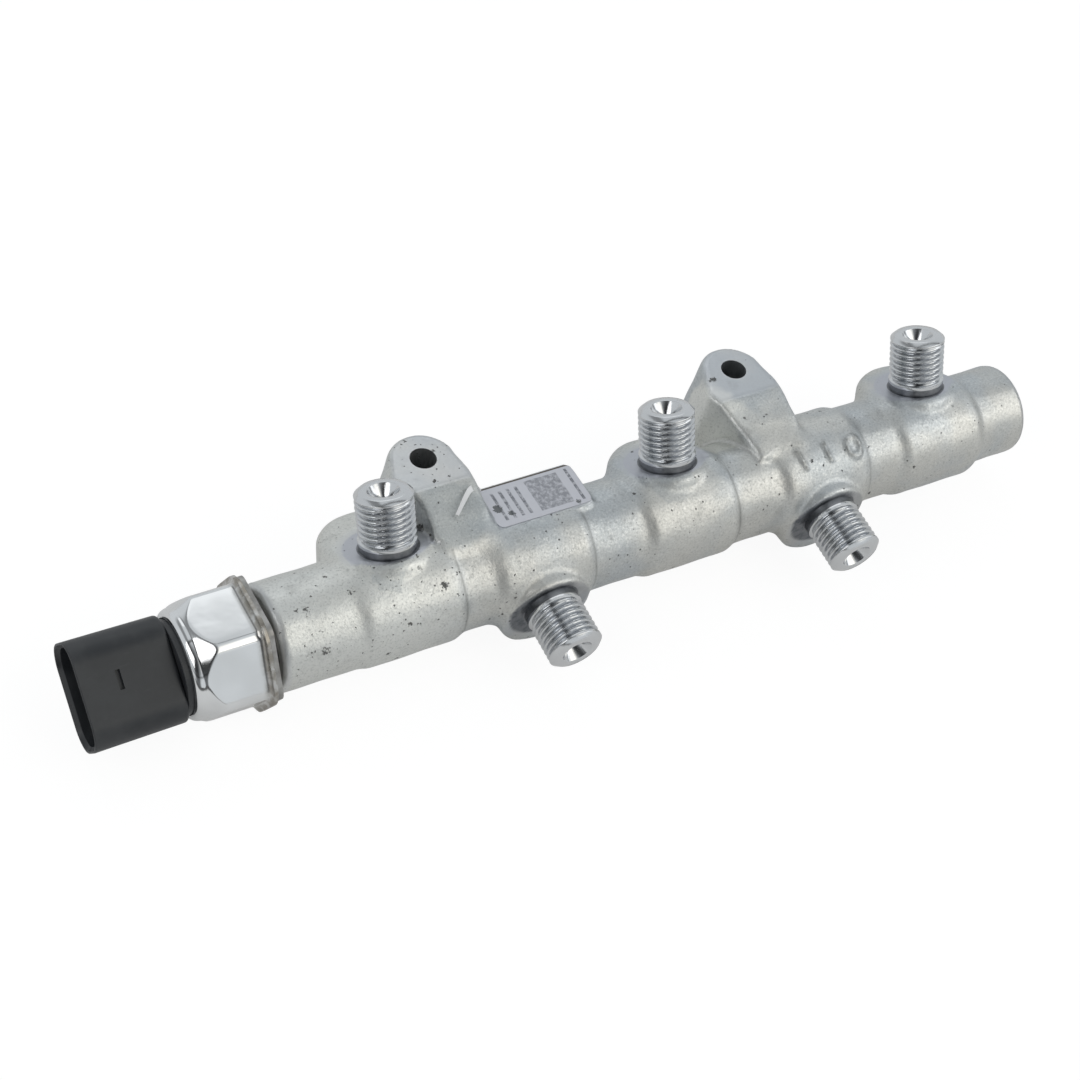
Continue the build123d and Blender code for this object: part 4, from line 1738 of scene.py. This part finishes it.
@dataclass
class PackedParts:
    """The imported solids, each with its own finish; most of them sit inside the sensor."""

    steel: Finish = TurnedSteel()
    gold: Finish = PlatedMetal("gold_plate", (0.80, 0.62, 0.30))
    tin: Finish = PlatedMetal("tin_plate", (0.72, 0.70, 0.66))
    foil: Finish = MouldedPlastic("plain_foil", (0.60, 0.61, 0.66), (0.5, 0.5, 0.52))
    housing: Finish = MouldedPlastic("plain_plastic", (0.02, 0.02, 0.025), (0.05, 0.05, 0.05))
    ring: Finish = MouldedPlastic("ring_plastic", (0.62, 0.57, 0.46), (0.50, 0.46, 0.38))
    board: Finish = MouldedPlastic("board_mask", (0.015, 0.16, 0.07), (0.03, 0.22, 0.10), 0.3)
    chip: Finish = MouldedPlastic("chip_resin", (0.02, 0.02, 0.022), (0.04, 0.04, 0.04), 0.5)
    rubber: Finish = MouldedPlastic("seal_rubber", (0.015, 0.015, 0.015), (0.03, 0.03, 0.03), 0.6)

    def finishes(self) -> list[tuple[Finish, tuple[str, ...]]]:
        """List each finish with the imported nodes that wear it.

        Returns:
            Pairs of a finish and its nodes' names.
        """
        return [
            (self.steel, ("rail_body", "sensor_can", "sensor_port", "sensing_element")),
            (self.gold, tuple(f"contact_spring_{number}" for number in (1, 2, 3))),
            (self.tin, tuple(f"terminal_{number}" for number in (1, 2, 3))),
            (self.foil, ("label_foil",)),
            (self.housing, ("connector_housing",)),
            (self.ring, ("support_ring",)),
            (self.board, ("circuit_board",)),
            (self.chip, ("signal_chip",)),
            (self.rubber, ("connector_seal",)),
        ]

    def dress(self) -> list[str]:
        """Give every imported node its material.

        Returns:
            The names of the dressed nodes.
        """
        dressed: list[str] = []
        for finish, names in self.finishes():
            material = finish.material()
            for name in names:
                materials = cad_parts[name].data.materials
                materials.clear()
                materials.append(material)
                dressed.append(name)
        return dressed


@dataclass(frozen=True)
class DarkBand:
    """A dark stripe of the studio, across one direction, that polished parts mirror.

    It is seen only from a reach along the direction that it faces.
    """

    across: Point
    half_width: float
    depth: float
    facing: Point = (0.0, 0.0, 1.0)
    reach: float = -2.0


@dataclass(frozen=True)
class SoftBox:
    """A rectangular lamp: its place and sides in millimetres and its power in watts."""

    name: str
    place: Point
    sides: Pair
    power: float


@dataclass
class Studio:
    """Floor, lights and the camera at the photograph's angle."""

    camera_place: Point = (-235.109, -284.911, 398.973)
    camera_right: Point = (0.86627, -0.47360, 0.15899)
    camera_up: Point = (0.27117, 0.71305, 0.64655)
    camera_back: Point = (-0.41958, -0.51697, 0.74612)
    sensor_width: float = 36.0
    lens: float = 70.097
    clip: Pair = (0.01, 20.0)
    soft_boxes: tuple[SoftBox, ...] = (
        SoftBox("soft_box_left", (-620.0, -180.0, 520.0), (520.0, 420.0), 1.1),
        SoftBox("soft_box_back", (160.0, 560.0, 560.0), (700.0, 360.0), 0.3),
        SoftBox("soft_box_right", (620.0, -260.0, 380.0), (360.0, 420.0), 0.4),
    )
    aim: Point = (0.0, -20.0, 15.0)
    floor_half: float = 1500.0
    floor_cells: int = 8
    floor_grey: Colour = (0.72, 0.72, 0.72)
    floor_dark: Colour = (0.10, 0.10, 0.10)
    floor_glow: float = 1.12
    seen_share: float = 0.82
    mirror_share: float = 0.17
    white: Colour = (1.0, 1.0, 1.0)
    cool_sky: Colour = (0.93, 0.97, 1.0)
    warm_sky: Colour = (1.0, 0.985, 0.935)
    key_light: Point = (0.420, -0.660, 0.623)
    dark_bands: tuple[DarkBand, ...] = (
        DarkBand((0.0, 0.9976, -0.0698), 0.07, 0.75),
        DarkBand((0.0, 0.3420, 0.9397), 0.05, 0.60),
        DarkBand((0.894, 0.0, 0.447), 0.24, 0.60, (0.0, 0.3, 0.95), 0.55),
        DarkBand((0.776, -0.630, 0.0), 0.42, 0.78, (-0.630, -0.776, 0.0), 0.35),
    )

    def camera(self) -> None:
        """Place the camera and make it the scene's own."""
        data = bpy.data.cameras.new("view")
        data.sensor_width = self.sensor_width
        data.lens = self.lens
        data.clip_start, data.clip_end = self.clip
        holder = bpy.data.objects.new("view", data)
        turn = Matrix((self.camera_right, self.camera_up, self.camera_back)).transposed().to_4x4()
        holder.matrix_world = Matrix.Translation(Vector(self.camera_place) * MM) @ turn
        bpy.context.scene.collection.objects.link(holder)
        bpy.context.scene.camera = holder

    def floor(self) -> None:
        """Lay the floor under the part: a flat grid that keeps the shadow and shows white."""
        low = CAD_BOX[0][2] / MM
        side = np.linspace(-self.floor_half, self.floor_half, self.floor_cells + 1)
        x, y = np.meshgrid(side, side)
        points = np.stack([x, y, np.full(x.shape, low)], -1).reshape(-1, 3)
        cell = np.arange(self.floor_cells)
        corner = cell[:, None] * len(side) + cell
        faces = np.stack([corner, corner + 1, corner + len(side) + 1, corner + len(side)], -1)
        mesh = mesh_from_arrays("floor", points, faces.reshape(-1, 4).tolist(), 30.0)
        holder = bpy.data.objects.new("floor", mesh)
        bpy.context.scene.collection.objects.link(holder)
        bench = ShaderBench("floor_paint")
        shadow = self.camera_shadow(bench)
        bench.finish(Base_Color=bench.tint(shadow, self.floor_grey, self.floor_dark), Roughness=0.9)
        glow = bench.node("ShaderNodeEmission", {}, {"Color": self.white, "Strength": self.floor_glow})
        seen = bench.read("ShaderNodeLightPath", "Is Camera Ray") * self.seen_share
        open_share = shadow * -self.mirror_share + self.mirror_share
        mirrored = bench.read("ShaderNodeLightPath", "Is Glossy Ray") * open_share
        bench.show(bench.mix(seen.at_least(mirrored), bench.shader, glow))
        mesh.materials.append(bench.material)

    def camera_shadow(self, bench: ShaderBench) -> Signal:
        """Mark the floor under the camera: a wedge that opens towards it and stays out of its sight.

        Args:
            bench: the shader that the mark belongs to.

        Returns:
            1 in the wedge and 0 elsewhere.
        """
        flat = math.hypot(self.camera_back[0], self.camera_back[1])
        ahead = (self.camera_back[0] / flat, self.camera_back[1] / flat, 0.0)
        beside = (-ahead[1], ahead[0], 0.0)
        where = bench.place()
        away = bench.vector(VectorMaths.DOT, where, ahead)
        spread = abs(bench.vector(VectorMaths.DOT, where, beside))
        return away.graded(0.20, 0.28) * (away * 0.62 - spread).graded(-0.03, 0.05)

    def sky(self) -> None:
        """Light the part from all round: a warm key light, dimmer towards the camera, with dark bands.

        The camera itself sees plain white.
        """
        world = bpy.data.worlds.new("studio")
        bpy.context.scene.world = world
        world.use_nodes = True
        bench = NodeBench(world.node_tree, "ShaderNodeOutputWorld")
        direction = bench.read("ShaderNodeTexCoord", "Generated")
        shade = bench.vector(VectorMaths.DOT, direction, self.camera_back).graded(0.70, 0.97, 1.0, 0.25)
        glow = bench.vector(VectorMaths.DOT, direction, self.key_light).graded(0.84, 0.985, 0.0, 0.95)
        front = bench.read("ShaderNodeSeparateXYZ", "Y", {}, {0: direction}).graded(-0.2, -0.9, 0.68, 0.70)
        level = (front + glow) * shade
        for band in self.dark_bands:
            away = abs(bench.vector(VectorMaths.DOT, direction, band.across))
            ahead = bench.vector(VectorMaths.DOT, direction, band.facing)
            stripe = away.graded(band.half_width, band.half_width * 0.4)
            stripe = stripe * ahead.graded(band.reach, band.reach + 0.25)
            level = level * (1.0 - stripe * band.depth)
        colour = bench.tint(glow.graded(0.0, 0.80), self.cool_sky, self.warm_sky)
        light = bench.node("ShaderNodeBackground", {}, {"Color": colour, "Strength": level})
        plain = bench.node("ShaderNodeBackground", {}, {"Color": self.white, "Strength": 1.0})
        bench.show(bench.mix(bench.read("ShaderNodeLightPath", "Is Camera Ray"), light, plain))

    def lamp(self, box: SoftBox) -> None:
        """Hang one soft box that faces the middle of the part.

        Args:
            box: the soft box.
        """
        data = bpy.data.lights.new(box.name, "AREA")
        data.shape = "RECTANGLE"
        data.size, data.size_y = (side * MM for side in box.sides)
        data.energy = box.power
        holder = bpy.data.objects.new(box.name, data)
        where = Vector(box.place) * MM
        turn = (Vector(self.aim) * MM - where).to_track_quat("-Z", "Y")
        holder.matrix_world = Matrix.Translation(where) @ turn.to_matrix().to_4x4()
        bpy.context.scene.collection.objects.link(holder)

    def build(self) -> None:
        """Set up the whole studio."""
        self.camera()
        self.floor()
        self.sky()
        for box in self.soft_boxes:
            self.lamp(box)
        bpy.context.scene.view_settings.view_transform = "Standard"


class SubAssembly(Protocol):
    """What every class that builds pieces has."""

    def build(self) -> list[Piece]:
        """Build the pieces."""


def main() -> None:
    """Build every piece in order and report it."""
    logging.basicConfig(level=logging.INFO, format="%(name)s: %(message)s")
    for name in PackedParts().dress():
        log.info("dressed %s", name)
    assemblies: list[SubAssembly] = [ForgedBody(), PipeNipples(), SensorCan(), PlugShroud(), FoilLabel()]
    for assembly in assemblies:
        for piece in assembly.build():
            log.info("built %s with %d faces", piece.object.name, len(piece.object.data.polygons))
    Studio().build()


if __name__ == "__main__":
    main()
